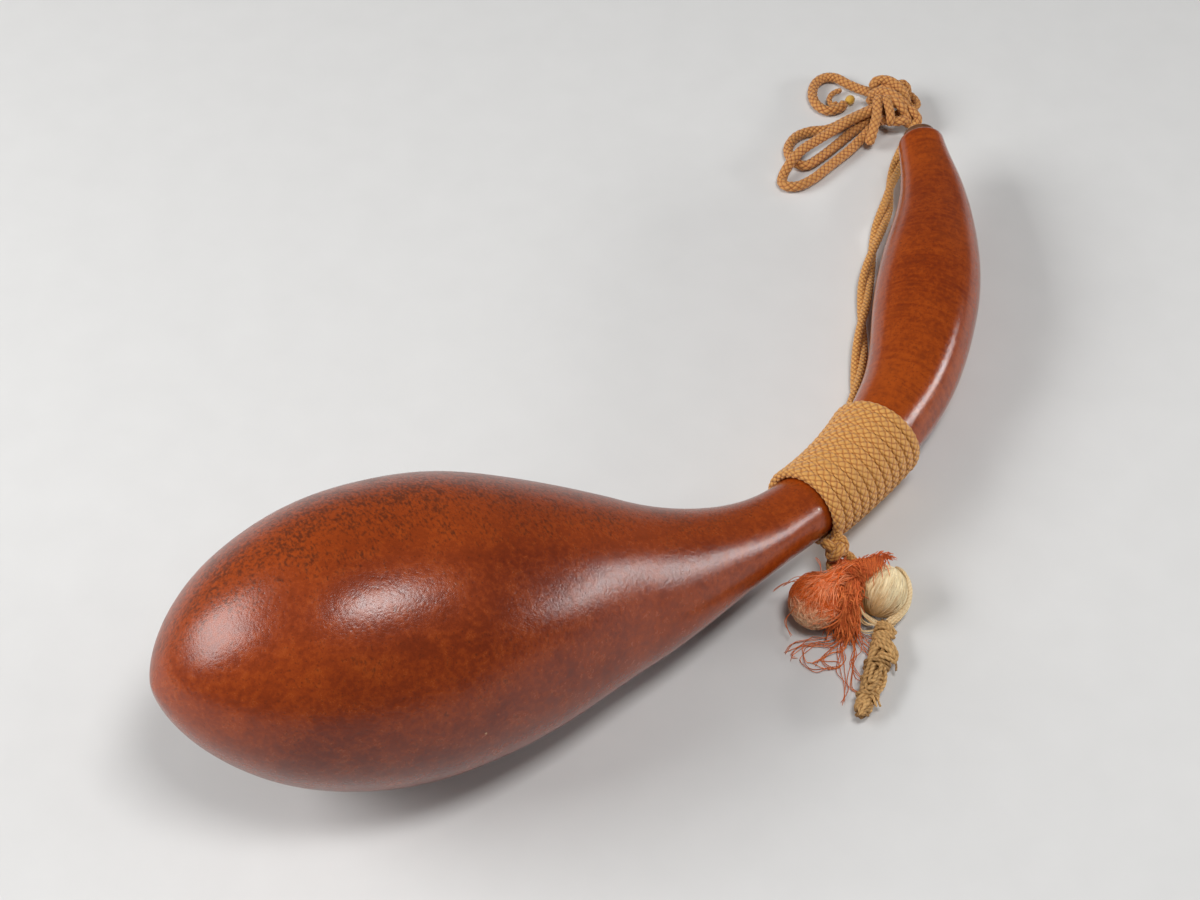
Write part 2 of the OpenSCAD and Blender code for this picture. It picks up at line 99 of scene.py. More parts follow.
# %% Values
class Value:
    """A number, vector or colour that varies over a surface. Arithmetic on it adds Math nodes."""

    def __init__(self, finish, socket):
        self.finish, self.socket = finish, socket

    def math(self, kind, *others):
        """The Math node of that kind, with this value first."""
        return self.finish.node("ShaderNodeMath", {"operation": kind}, self, *others)

    def __add__(self, other): return self.math("ADD", other)
    def __mul__(self, other): return self.math("MULTIPLY", other)
    def __sub__(self, other): return self.math("SUBTRACT", other)
    def __pow__(self, other): return self.math("POWER", other)
    def __mod__(self, other): return self.math("FLOORED_MODULO", other)
    def __abs__(self): return self.math("ABSOLUTE")
    def __floor__(self): return self.math("FLOOR")
    def __rsub__(self, other): return self * -1 + other
    __radd__, __rmul__ = __add__, __mul__

    def between(self, low, high):
        """0 below low, 1 above high, and a straight rise between them."""
        return self.finish.node("ShaderNodeMapRange", {}, self, low, high)

    def ripple(self, number):
        """A wave from 0 to 1: 0.5 + 0.5 sin(number * value)."""
        return (self * number).math("SINE") * 0.5 + 0.5


print("a value knows", [name for name in vars(Value) if not name.startswith("__")])

# %% Finishes
class Finish:
    """A material and the record's slot it stands for: its constants go straight to the shader's
    sockets, and the rest comes as values."""

    def __init__(self, name, slot=None, **constants):
        self.slot = slot
        self.material = bpy.data.materials.new(name)
        self.material.use_nodes = True
        self.tree = self.material.node_tree
        self.shader = self.tree.nodes["Principled BSDF"]
        for key, value in constants.items():
            self.feed(self.shader.inputs[key.replace("_", " ")], value)
        self.place = self.node("ShaderNodeTexCoord", out="Object")

    def feed(self, socket, value):
        """A value is linked to the socket, and a plain number or colour is set on it."""
        if isinstance(value, Value):
            self.tree.links.new(value.socket, socket)
        elif value is not None:
            wide = isinstance(value, tuple) and socket.type == "RGBA" and len(value) == 3
            socket.default_value = (*value, 1) if wide else value

    def node(self, kind, settings=None, *values, out=0, **named):
        """Any node: its type, its settings, and the values or links of its sockets in order."""
        made = self.tree.nodes.new(kind)
        for key, value in (settings or {}).items():
            setattr(made, key, value)
        for socket, value in zip(made.inputs, values):
            self.feed(socket, value)
        for key, value in named.items():
            self.feed(made.inputs[key.replace("_", " ")], value)
        return Value(self, made.outputs[out])

    def noise(self, scale, detail=3, rough=0.5, at=None, stretch=(1, 1, 1)):
        """Soft noise of about one blot in 1 / scale metres, round the piece's own origin."""
        at = self.node("ShaderNodeMapping", {}, at or self.place, Scale=stretch)
        return self.node("ShaderNodeTexNoise", Vector=at, Scale=scale, Detail=detail,
                         Roughness=rough)

    def mix(self, amount, one, two):
        """The first colour where amount is 0, and the second where it is 1. Five sockets for
        numbers and vectors come before those for colours."""
        return self.node("ShaderNodeMix", {"data_type": "RGBA"}, amount, *[None] * 5, one, two,
                         out=2)

    def unrolled(self, axis):
        """A number of the piece's UV map: X is the way round it, and Y the way along it."""
        uv = self.node("ShaderNodeTexCoord", out="UV")
        return self.node("ShaderNodeSeparateXYZ", {}, uv, out=axis)

    def painted(self, name):
        """A number that was worked out for each point of the mesh."""
        return self.node("ShaderNodeAttribute", {"attribute_name": name}, out="Fac")

    def relief(self, height, strength, depth):
        """Height in parts of depth, in metres, turns the surface's normal."""
        self.shader_in("Normal", self.node("ShaderNodeBump", Strength=strength, Distance=depth,
                                           Height=height))

    def shader_in(self, name, value):
        """Feeds one of the shader's own sockets."""
        self.feed(self.shader.inputs[name], value)


print("a finish knows", [name for name in vars(Finish) if not name.startswith("__")])

# %% [markdown]
# ## Floor and sky
# The floor is plain and pale and keeps the flask's shadow. The sky is one soft grey light, so that
# the lacquer keeps its depth: a white sky would lie on it like milk.

# %% Floor and sky
HALF, DROP = 4.0, 0.0002

floor = placed("floor", bpy.data.meshes.new("floor"))
floor.data.from_pydata([(-HALF, -HALF, -DROP), (HALF, -HALF, -DROP), (HALF, HALF, -DROP),
                        (-HALF, HALF, -DROP)], [], [(0, 1, 2, 3)])
paper = Finish("pale_paper", Roughness=0.75, Specular_IOR_Level=0.2)
paper.shader_in("Base Color",
                paper.mix(paper.noise(60), (0.65, 0.645, 0.635), (0.69, 0.685, 0.675)))
floor.data.materials.append(paper.material)

world = bpy.data.worlds.new("sky")
bpy.context.scene.world = world
world.use_nodes = True
sky = world.node_tree.nodes["Background"]
sky.inputs["Color"].default_value = (0.97, 0.98, 1.0, 1)
sky.inputs["Strength"].default_value = 0.13
print("floor and sky are ready")

# %% [markdown]
# ## Surfaces from whole arrays
# Every new piece is rings of points carried along a path, or a grid of two parameters. One
# function turns such an array into a closed mesh with a UV map, so the rest of the script only
# works out where the points are.

# %% Meshes from rings
def surface(name, rings, body, finish, uv=None, closed=False, replaces=(), **painted):
    """A mesh from points [piece, ring, side, xyz] in millimetres. Each ring is joined to the next,
    and the first and last are closed by a face, or to each other. uv is (turns round a ring,
    distance of each ring), and each painted array has one number per point."""
    rings = np.asarray(rings, float)
    rings = rings.reshape(-1, *rings.shape[-3:])
    count, n, m = rings.shape[:3]
    at = np.arange(count * n * m).reshape(count, n, m)
    one = at if closed else at[:, :-1]
    two = np.roll(at, -1, 1) if closed else at[:, 1:]
    quads = np.stack([one, np.roll(one, -1, 2), np.roll(two, -1, 2), two], -1).reshape(-1, 4)
    ends = np.empty((0, m), int) if closed else np.concatenate([at[:, 0, ::-1], at[:, -1]])
    mesh = bpy.data.meshes.new(name)
    mesh.vertices.add(count * n * m)
    mesh.vertices.foreach_set("co", (rings * MM).astype(np.float32).ravel())
    corners = np.concatenate([quads.ravel(), ends.ravel()]).astype(np.int32)
    mesh.loops.add(len(corners))
    mesh.loops.foreach_set("vertex_index", corners)
    starts = np.concatenate([np.arange(len(quads)) * 4, len(quads) * 4 + np.arange(len(ends)) * m])
    mesh.polygons.add(len(starts))
    mesh.polygons.foreach_set("loop_start", starts.astype(np.int32))
    mesh.polygons.foreach_set("loop_total",
                              np.array([4] * len(quads) + [m] * len(ends), np.int32))
    mesh.polygons.foreach_set("use_smooth", np.ones(len(starts), bool))
    if uv is not None:
        round_it, far = uv
        far = np.broadcast_to(np.asarray(far, float), (count, n + closed))
        u = np.stack(np.broadcast_arrays(*[(np.arange(m) + k)[None, None] / m * round_it
                                           for k in (0, 1, 1, 0)]), -1)
        v = np.stack([far[:, :-1], far[:, :-1], far[:, 1:], far[:, 1:]], -1)[:, :, None]
        u, v = np.broadcast_arrays(u, v)
        flat = np.stack([u.ravel(), v.ravel()], -1)
        cap = np.zeros((ends.size, 2))
        layer = mesh.uv_layers.new(name="UVMap")
        layer.uv.foreach_set("vector", np.concatenate([flat, cap]).astype(np.float32).ravel())
    for key, values in painted.items():
        layer = mesh.attributes.new(key, "FLOAT", "POINT")
        values = np.broadcast_to(values, (count, n, m)).astype(np.float32)
        layer.data.foreach_set("value", values.ravel())
    mesh.update()
    mesh.materials.append(finish.material)
    piece = placed(name, mesh)
    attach(piece, body)
    if replaces:
        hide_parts(*replaces)
    print(name, count * n * m, "points,", 2 * len(quads) + len(ends) * (m - 2), "triangles")
    return piece


print("meshes are made by", surface.__name__)

# %% [markdown]
# ## Lines and tubes
# A cord or a thread is a line with a ring of points round each of its points. Such a line comes
# from a few given points, a smooth curve through them, and equal steps along that curve, so
# that stitches keep their length. The rings must not spin on the way, or the braid would twist:
# each one takes its first direction from the ring before it.

# %% Lines
STEP = 0.3


def unit(v):
    """Vectors of the same directions and length 1."""
    return v / np.linalg.norm(v, axis=-1, keepdims=True)


def direction(line):
    """Unit vectors along a line, or along each of many lines."""
    return unit(np.gradient(line, axis=-2))


def above(points, floor_at):
    """The same points, but none of them lower than floor_at."""
    return np.concatenate([points[..., :2], np.maximum(points[..., 2:], floor_at)], -1)


def lengths(line):
    """Distance of each point of a line, or of each of many lines, from its start."""
    steps = np.linalg.norm(np.diff(line, axis=-2), axis=-1)
    return np.concatenate([np.zeros_like(steps[..., :1]), np.cumsum(steps, -1)], -1)


def even_line(line, step=STEP, count=None):
    """The same line laid out again in equal steps, or in a number of points."""
    far = lengths(line)
    at = np.linspace(0, far[-1], count or int(round(far[-1] / step)) + 1)
    return np.stack([np.interp(at, far, line[:, k]) for k in range(3)], -1)


def smooth_line(points, step=STEP):
    """A cubic between each two points, whose slope at a point is half the way from the point
    before it to the point after it."""
    p = np.asarray(points, float)
    p = np.concatenate([p[:1], p, p[-1:]])
    p0, p1, p2, p3 = (p[k:len(p) - 3 + k, None] for k in range(4))
    t = np.linspace(0, 1, 40, endpoint=False)[None, :, None]
    curve = 0.5 * (2 * p1 + (p2 - p0) * t + (2 * p0 - 5 * p1 + 4 * p2 - p3) * t ** 2
                   + (3 * p1 - p0 - 3 * p2 + p3) * t ** 3)
    return even_line(np.concatenate([curve.reshape(-1, 3), p[-1:]]), step)


corner = smooth_line([[0, 0, 0], [10, 0, 0], [10, 10, 0]])
print("a smooth line round a corner of two 10 mm legs is", round(lengths(corner)[-1], 1), "mm long")

# %% Tubes
def sides(lines):
    """Two directions square to each line. The first starts level and turns as little as it can:
    at each ring it is the one before, less what of it points along the line."""
    way = direction(lines)
    start = np.cross(way[..., 0, :], [0.02, 0.03, 1.0])
    across = [unit(start)]
    for k in range(1, lines.shape[-2]):
        along = way[..., k, :]
        across.append(unit(across[-1] - (across[-1] * along).sum(-1, keepdims=True) * along))
    across = np.stack(across, -2)
    return across, np.cross(way, across)


def tube(lines, radius, count, frames=None):
    """Rings of points round each line: centre + radius * (cos a * across + sin a * over)."""
    across, over = frames or sides(lines)
    a = np.arange(count) * 2 * np.pi / count
    radius = np.asarray(radius, float)
    radius = radius if radius.ndim >= 2 and radius.shape[-1] == count else radius[..., None]
    return (lines[..., None, :] + (radius * np.cos(a))[..., None] * across[..., None, :]
            + (radius * np.sin(a))[..., None] * over[..., None, :])


print("its tube has rings, sides and x, y, z:", tube(corner, 1.0, 8).shape)

# %% [markdown]
# ## Braided silk
# The cord is plaited from fine silk: short plump stitches lean left and right in turn, like
# diamonds, gold where they catch the light and rust in the gaps, a painted highlight and painted
# shade. Two families of strands wind round the cord in opposite ways. Numbering them by u + v and
# u - v makes each diamond a cell, and the sum of the cell's two numbers tells which family lies on
# top. The same sum shapes the mesh here and colours the stitches in the finish, so both always
# agree.

# %% Braid relief
PLUMP, DIP, MIDDLE = 2.4, 0.6, 0.62


def braid(u, v):
    """Height from 0 to 1 of a plait in cells: (1 - |2 f - 1|^PLUMP) over a stitch's width times
    (1 - DIP |2 g - 1|^2) along it, where f and g are the shares of the cell."""
    one, two = u + v, u - v
    top = (np.floor(one) + np.floor(two)) % 2 < 1
    f, g = one % 1, two % 1
    f, g = np.where(top, f, g), np.where(top, g, f)
    return (1 - np.abs(2 * f - 1) ** PLUMP) * (1 - DIP * (2 * g - 1) ** 2)


def stitches(far, cells, lay, count, deep):
    """How far the braid stands out at each ring and side: deep * (height - MIDDLE), with so many
    cells round the cord, and one for each lay along it."""
    return deep * (braid(np.arange(count) / count * cells, far[:, None] / lay) - MIDDLE)


print("height of a stitch at its middle and its corner:", braid(np.array([0.5, 0]), np.zeros(2)))

# %% Braid finish
def shaded(colour, share):
    """A share of a colour."""
    return tuple(share * c for c in colour)


def braid_finish(name, gold, rust):
    """Silk stitches: gold on their backs and rust in the gaps, which is painted highlight and
    painted shade over their relief, with fine filaments along them.
    """
    silk = Finish(name, "braid", Roughness=0.62, Sheen_Weight=0.25, Sheen_Roughness=0.4,
                  Specular_IOR_Level=0.35)
    u, v = silk.unrolled("X"), silk.unrolled("Y")
    one, two = u + v, u - v
    row, column = math.floor(one), math.floor(two)
    top = (row + column) % 2
    f, g = one % 1, two % 1
    width = f + top * (g - f)
    along = g + top * (f - g)
    back = (1 - abs(width * 2 - 1) ** PLUMP) * (1 - (along * 2 - 1) ** 2 * DIP)
    cell = silk.node("ShaderNodeCombineXYZ", {}, row, column, top)
    luck = silk.node("ShaderNodeTexWhiteNoise", {"noise_dimensions": "3D"}, cell)
    worn = silk.noise(90, 4, 0.6)
    fibre = width.ripple(44)
    # Gold on the stitches' backs and rust in their gaps follow the braid's height: painted
    # highlight and painted shade.
    colour = silk.mix((back * 1.5 - 0.12 + (luck - 0.5) * 0.25).between(0, 1), rust, gold)
    colour = silk.mix(worn.between(0.50, 0.75) * 0.5, colour, shaded(gold, 0.8))
    silk.shader_in("Base Color",
                   silk.mix(fibre * 0.12 + luck * 0.10, colour, shaded(rust, 0.6)))
    silk.relief(back + fibre * 0.10, 0.9, 0.00030)
    return silk


GOLD_BRAID = braid_finish("gold_braid", (0.72, 0.365, 0.095), (0.40, 0.125, 0.020))
LOOSE_BRAID = braid_finish("loose_braid", (0.66, 0.31, 0.085), (0.30, 0.075, 0.014))
print("braids are", GOLD_BRAID.material.name, "and", LOOSE_BRAID.material.name)

# %% A braided cord as a piece
def rounded(far, radius, least):
    """How full a line with rounded ends is: sqrt(1 - (1 - end / radius)^2), where end is the way
    to the nearer end and the root is taken of least or more."""
    end = np.clip(np.minimum(far, far[..., -1:] - far) / radius, 0, 1)
    return np.sqrt(np.clip(1 - (1 - end) ** 2, least, 1))[..., None]


def braided(name, line, thick, cells, lay, finish, replaces=(), count=None, deep=0.24, flat=None):
    """A braided cord along a line in even steps, as a piece. Its radius is half its thickness plus
    the braid's height, and both of its ends are rounded off. flat is the width and the two
    directions of a cord that is pulled flat: its section is sign(w) |w|^0.72 of cos a and sin a."""
    far = lengths(line)
    count = count or 6 * cells
    lift = stitches(far, cells, lay, count, deep)
    cap = rounded(far, thick / 2, 0.02)
    if flat:
        wide, across, over = flat
        a = np.arange(count) / count * 2 * np.pi
        x, y = (np.sign(w) * np.abs(w) ** 0.72 for w in (np.cos(a), np.sin(a)))
        rings = (line[:, None] + ((wide / 2 + lift) * cap * x)[..., None] * across[:, None]
                 + ((thick / 2 + lift) * cap * y)[..., None] * over[:, None])
    else:
        rings = tube(line, (thick / 2 + lift) * cap, count)
    return surface(name, rings, "gourd", finish, uv=(cells, far / lay), replaces=replaces)


print("rounded ends of a cord 2 mm thick:", rounded(np.linspace(0, 4, 5), 1, 0.02)[:, 0].round(2))

# %% [markdown]
# ## The gourd's own shape
# A gourd grows as a surface of revolution whose axis bends: a chain of arcs in one plane, then
# rolled on to its side. The radius along the axis is a blunt nose, a long taper, a rise to the
# small bulb and a fall to the mouth, all raised cosines of the part's own sizes. A sculpted mesh
# would also do, but a formula keeps the skin on the same solid that the part has.

# %% The axis of the gourd
NOSE, TAPER, RISE, TIP = 80.0, 149.0, 118.0, 86.0
LENGTH = NOSE + TAPER + RISE + TIP
BELLY, NECK, BULB, MOUTH, LIP, WALL = 48.25, 11.9, 18.2, 8.8, 3.0, 4.5
BENDS = np.radians([-3, 47, 29, 0])
ARCS = np.array([0.36, 0.36, 0.24, 0.04]) * LENGTH
ARC_FROM = np.concatenate([[0], np.cumsum(ARCS)[:-1]])
HEADINGS = np.radians(24.5) + np.concatenate([[0], np.cumsum(BENDS)[:-1]])


def arc_point(start, heading, bend, far):
    """Along an arc of bend radians a millimetre: start + (sin h - sin h0, cos h0 - cos h) / bend,
    and along a straight line where it doesn't bend."""
    near = np.where(np.abs(bend) < 1e-9, 1e-9, bend)
    turned = heading + near * far
    return start + np.stack([np.sin(turned) - np.sin(heading),
                             np.cos(heading) - np.cos(turned)], -1) / near[..., None]


ARC_STARTS = [np.zeros(2)]
for k in range(3):
    ARC_STARTS.append(arc_point(ARC_STARTS[k], HEADINGS[k], np.array(BENDS[k] / ARCS[k]), ARCS[k]))
ARC_STARTS = np.array(ARC_STARTS)


def arc_at(s):
    """The number of the arc that a distance along the axis lies on."""
    return np.clip(np.searchsorted(ARC_FROM, s, "right") - 1, 0, 3)


def heading(s):
    """Where the axis points: its arc's first heading plus bend * share of the arc."""
    k = arc_at(s)
    return HEADINGS[k] + BENDS[k] / ARCS[k] * (s - ARC_FROM[k])


def flat_axis(s):
    """The axis as a chain of arcs in one plane."""
    k = arc_at(s)
    xy = arc_point(ARC_STARTS[k], HEADINGS[k], BENDS[k] / ARCS[k], s - ARC_FROM[k])
    return np.concatenate([xy, np.zeros_like(xy[..., :1])], -1)


print("the axis ends", flat_axis(np.array(LENGTH)).round(1), "from the nose before it is rolled")

# %% The radius of the gourd
def ease(t, full):
    """From 1 to 0: ((1 + cos(pi t)) / 2)^full."""
    return ((1 + np.cos(np.pi * np.clip(t, 0, 1))) / 2) ** full


def blunt(t):
    """From 0 to 1: (1 - (1 - t)^2.15)^(1 / 1.59)."""
    return np.clip(1 - np.clip(1 - t, 0, 1) ** 2.15, 0, 1) ** (1 / 1.59)


def skin_r(s):
    """Outside radius at a distance along the axis: nose, taper, rise and tip."""
    s = np.asarray(s, float)
    lip = LIP - np.sqrt(np.clip(LIP ** 2 - np.clip(s - LENGTH + LIP, 0, LIP) ** 2, 0, None))
    return np.select(
        [s < NOSE, s < NOSE + TAPER, s < NOSE + TAPER + RISE],
        [BELLY * blunt(s / NOSE),
         NECK + (BELLY - NECK) * ease((s - NOSE) / TAPER, 1.03),
         NECK + (BULB - NECK) * ease(1 - (s - NOSE - TAPER) / RISE, 1.31)],
        MOUTH + (BULB - MOUTH) * ease((s - NOSE - TAPER - RISE) / TIP, 0.73) - lip)


print("radius at belly, neck and bulb:", skin_r([NOSE, NOSE + TAPER, LENGTH - TIP]))

# %% The roll on to its side
def turn(axis, degrees):
    """A turn by degrees about an axis, as a matrix."""
    a, (i, j) = math.radians(degrees), {"x": (1, 2), "y": (2, 0), "z": (0, 1)}[axis]
    m = np.eye(3)
    m[i, i] = m[j, j] = math.cos(a)
    m[i, j], m[j, i] = -math.sin(a), math.sin(a)
    return m


# The roll on to the side, and the place that becomes the origin.
LIE = turn("z", 42.1389) @ turn("y", 7.1062) @ turn("x", 14) @ turn("z", -42.1389)
HOME = np.array([138.43, 133.773, -64.7225])


def beside(s, a, r):
    """A point at radius r from the axis, at a degrees from the inner side of the bend over the
    top: lie * (axis + r (cos a * across + sin a * up)) - home."""
    s, a, r = np.broadcast_arrays(*(np.asarray(x, float) for x in (s, a, r)))
    h, a = heading(s), np.radians(a)
    off = np.stack([-np.sin(h) * np.cos(a), np.cos(h) * np.cos(a), np.sin(a)], -1)
    return (flat_axis(s) + r[..., None] * off) @ LIE.T - HOME


print("the mouth lies at", beside(LENGTH, 0, 0).round(2))

# %% [markdown]
# ## The lacquered rind
# The skin is smooth but never perfect: it swells and dips by a fraction of a millimetre, shows
# cloudy red and rust mottling with fine dark pores, darker spots on its far back, which are partly
# its own and partly painted shade, and a clearer orange on the small bulb, which is a little fuller
# on the inner side of the bend. Its underside near the floor is darkened by painted shade. The
# gloss is a thin worn polish. The mottling is noise at several sizes, weighted by numbers painted
# on the mesh from where a point is along and round the gourd.

# %% Rind finish
rind = Finish("lacquered_rind", "rind", Specular_IOR_Level=0.40, Coat_Roughness=0.22,
              Coat_IOR=1.4)
cloud = rind.noise(24, 4, 0.6)
blot = rind.noise(125, 6, 0.74)
fleck = rind.noise(560, 4, 0.62)
grain = rind.noise(1500, 2, 0.5)
pores = rind.node("ShaderNodeTexVoronoi", Vector=rind.place, Scale=640)
chips = rind.node("ShaderNodeTexVoronoi", Vector=rind.place, Scale=45)
warm, shade, low = (rind.painted(name) for name in ("warm", "shade", "low"))

# Noise on a hoop of about the skin's own radius, in units of 100 mm, has no seam.
HOOP = 0.24
along, angle = rind.unrolled("Y"), rind.unrolled("X") * (2 * math.pi)
hoop = rind.node("ShaderNodeCombineXYZ", {}, angle.math("COSINE") * HOOP,
                 angle.math("SINE") * HOOP, along)
fine = rind.noise(112, 4, 0.6, at=hoop)
growth = rind.node("ShaderNodeTexNoise", {"noise_dimensions": "1D"}, W=along, Scale=55, Detail=4)

base = rind.mix(cloud.between(0.36, 0.64), (0.165, 0.0200, 0.0025), (0.255, 0.0360, 0.0040))
bulb = rind.mix((cloud * 0.7 + growth * 0.3).between(0.38, 0.62), (0.205, 0.0270, 0.0018),
                (0.330, 0.0560, 0.0035))
light = (blot * 0.6 + fleck * 0.4).between(0.47, 0.66) * 0.50
dark = (0.52 - blot * 0.55 - fleck * 0.45).between(0.0, 0.16) * 0.42
# Dark speckles are the rind's own, and they grow denser on its far back as painted shade.
speckle_and_shade = (fine * 0.60 + blot * 0.40 + shade * 0.130).between(0.560, 0.690) * 0.72
chipped = (0.027 - chips + (fleck - 0.5) * 0.06).between(0, 0.012)
# low darkens the rind's underside near the floor: painted shade.
for amount, colour in ((warm, bulb), (light, (0.400, 0.0740, 0.0060)),
                       (dark, (0.085, 0.0140, 0.0040)), (shade * 0.6, (0.370, 0.0600, 0.0040)),
                       (speckle_and_shade, (0.045, 0.0100, 0.0035)), (low * 0.65, (0.075, 0.0100, 0.0020)),
                       ((0.19 - pores).between(0, 0.12) * 0.50, (0.050, 0.012, 0.005)),
                       (chipped, (0.52, 0.33, 0.19))):
    base = rind.mix(amount, base, colour)
rind.shader_in("Base Color", base)
rind.shader_in("Roughness", blot * 0.16 + fleck * 0.14 + 0.10 + shade * 0.06 - warm * 0.07)
rind.shader_in("Coat Weight", cloud.between(0.35, 0.65) * 0.08 + 0.06)
rind.relief(fleck * 0.7 + blot * 0.6 + grain * 0.2 + pores.between(0, 0.35) * 0.2, 0.22, 0.0006)
print("the rind's colour has", len(rind.tree.nodes), "nodes")

# %% The gourd with its wall, bore and hollow
BORE_R, BORE_DEEP, SIDES = 4.5, 14.0, 160
FULL_AT, FULL_REACH, FULLER, SLIMMER = 359, 63, 4.4, 1.2

out_s = np.concatenate([NOSE * (1 - np.cos(np.linspace(0.02, np.pi / 2, 60))),
                        np.linspace(NOSE, LENGTH - LIP, 262)[1:],
                        LENGTH - LIP + LIP * np.sin(np.linspace(0, np.pi / 2, 9))[1:]])
in_s = np.linspace(LENGTH - BORE_DEEP, 10, 110)
hollow = np.where(in_s < NOSE, (BELLY - WALL) * blunt((in_s - WALL) / (NOSE - WALL)),
                  skin_r(in_s) - WALL)
bore_s = LENGTH - np.array([0, 0.15, 0.6, 7, BORE_DEEP - 0.1, BORE_DEEP])
prof_s = np.concatenate([out_s, bore_s, in_s, [7.2, 6.5]])
bore_r = BORE_R + np.array([0.5, 0.12, 0, 0, 0, 0.2])
prof_r = np.concatenate([skin_r(out_s), bore_r, hollow, [8.5, 4.0]])
s, a = prof_s[:, None], (np.arange(SIDES) * 360 / SIDES)[None]
angle = np.radians(a)
outer = (np.arange(len(prof_s)) < len(out_s))[:, None]
swell = (0.22 * np.sin(s / 23 + 2.1 * np.sin(angle + 0.7)) * np.sin(2 * angle + s / 61)
         + 0.16 * np.sin(3 * angle + s / 17 + 1.3) + 0.10 * np.sin(s / 7.3 + angle))
swell = swell * np.clip(s / 30, 0, 1) * np.clip((LENGTH - s) / 25, 0, 1)
inner = np.cos(np.radians(a - 10))
bump = 0.5 + 0.5 * np.cos(np.pi * np.clip((s - FULL_AT) / FULL_REACH, -1, 1))
swell = swell + bump * np.where(inner > 0, FULLER, -SLIMMER) * np.abs(inner) ** 1.4
skin = above(beside(s, a, prof_r[:, None] + swell * outer), 0)
back_side = np.clip((np.cos(np.radians(a - 25)) - 0.30) / 0.55, 0, 1)
# How near a point lies to the floor side, where the rind is darkened as painted shade.
painted_shade_near_floor = np.clip((np.cos(np.radians(a - 262)) - 0.55) / 0.45, 0, 1)
surface("gourd_rind", skin, "gourd", rind, uv=(1, prof_s / 100), replaces=["gourd_shell"],
        warm=np.clip((s - 165) / 120, 0, 1) * outer,
        shade=back_side * np.clip((300 - s) / 150, 0, 1) * outer, low=painted_shade_near_floor * outer)

# %% [markdown]
# ## The stopper
# A small turned plug of dark wood fills the mouth. Its solid already has the right shape, a plug
# under a low domed head, so it stays and gets the rings and the fine dark pores of turned wood.

# %% Wood for the stopper
wood = Finish("turned_wood", Roughness=0.46, Specular_IOR_Level=0.45)
rings_at = wood.node("ShaderNodeMapping", {}, wood.place,
                     Location=(-0.1219, -0.1514, -0.0261), Scale=(1, 0.12, 1))
ring = wood.node("ShaderNodeTexWave", {"wave_type": "RINGS", "rings_direction": "Y"},
                 Vector=rings_at, Scale=240, Distortion=2.2, Detail=2)
pore = wood.noise(900, 4, 0.6, stretch=(1, 0.2, 1))
wood.shader_in("Base Color", wood.mix(ring * 0.6 + pore * 0.4, (0.075, 0.028, 0.011),
                                      (0.205, 0.088, 0.036)))
wood.relief(pore * 0.6 + ring * 0.4, 0.25, 0.0003)
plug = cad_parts["stopper"]
plug.data.materials.clear()
plug.data.materials.append(wood.material)
print("stopper keeps its solid,", len(plug.data.polygons), "faces")

# %% [markdown]
# ## The winding on the neck
# One cord, pulled a little flat, goes eleven times round the neck, and its turns lie tight against
# each other. A stack of rings would look alike from afar, but the real thing climbs, so the braid
# is carried along a helix like the part's own. Both of its ends hide on the floor side: the first
# is near the tassel's knot, and the last is where the twisted pair comes out.

# %% Winding
TURNS, FIRST, PITCH, START = 11.0, 232.4, 4.2, 262
WOUND_THICK, WOUND_WIDE, OFF_SKIN = 3.1, 4.5, 0.3

go = np.linspace(0, TURNS, 4000)
climb = FIRST + PITCH * go
wound = even_line(beside(climb, START + 360 * go, skin_r(climb) + OFF_SKIN + WOUND_THICK / 2), 0.36)
core = beside(FIRST + PITCH * np.linspace(0, TURNS, len(wound)), 0, 0)
way = direction(wound)
out = unit(wound - core)
out = unit(out - (out * way).sum(-1, keepdims=True) * way)
braided("winding_braid", wound, WOUND_THICK, 5, 2.8, GOLD_BRAID, ["neck_winding"], count=25,
        deep=0.34, flat=(WOUND_WIDE, np.cross(out, way), out))

# %% [markdown]
# ## The twisted pair
# Two thinner cords leave the winding together and lie twisted on the floor beside the neck, half
# a turn for each 37 mm. Each is nearly 188 mm long, seen from end to end. The route's points are
# the part's own, and each cord runs round that route half a turn from the other.

# %% Twisted pair of cords
TWIN = [[82.5, 12.5, 8.5], [84, 17, 7.5], [86.5, 23, 5.5], [88.5, 31, 4.2], [90.5, 41, 4],
        [92.5, 53, 4], [94.5, 68.5, 4], [96.5, 82, 4], [98.5, 95, 4], [102, 110, 4],
        [105.5, 123, 4], [109.5, 135.5, 4], [112.2, 147, 4], [115.4, 158, 4], [119.3, 168, 4],
        [122.8, 177.5, 4], [124.6, 185, 5], [121.5, 191, 7.5]]
HALF_TURN, APART = 37, 1.5


def free_cord(piece, line, diameter, far_end="knot", with_pieces=()):
    """Works out, in metres, the line's first point, the diameter and every 14th point of the line,
    and keeps none of them. The piece is not used.
    """
    tuple(line[0] * MM)
    diameter * MM
    [tuple(p) for p in line[::14] * MM]


pair = smooth_line(TWIN)
way = direction(pair)
level_side = unit(np.stack([-way[:, 1], way[:, 0], 0 * way[:, 0]], -1))
over = np.cross(way, level_side)
for name, phase in (("a", 145), ("b", 325)):
    a = np.radians(phase + 180 * lengths(pair) / HALF_TURN)[:, None]
    line = even_line(pair + APART * (np.cos(a) * level_side + np.sin(a) * over))
    free_cord(braided("twin_braid_" + name, line, 3.1, 4, 2.0, GOLD_BRAID, ["twin_cord_" + name]),
              line, 3.0)
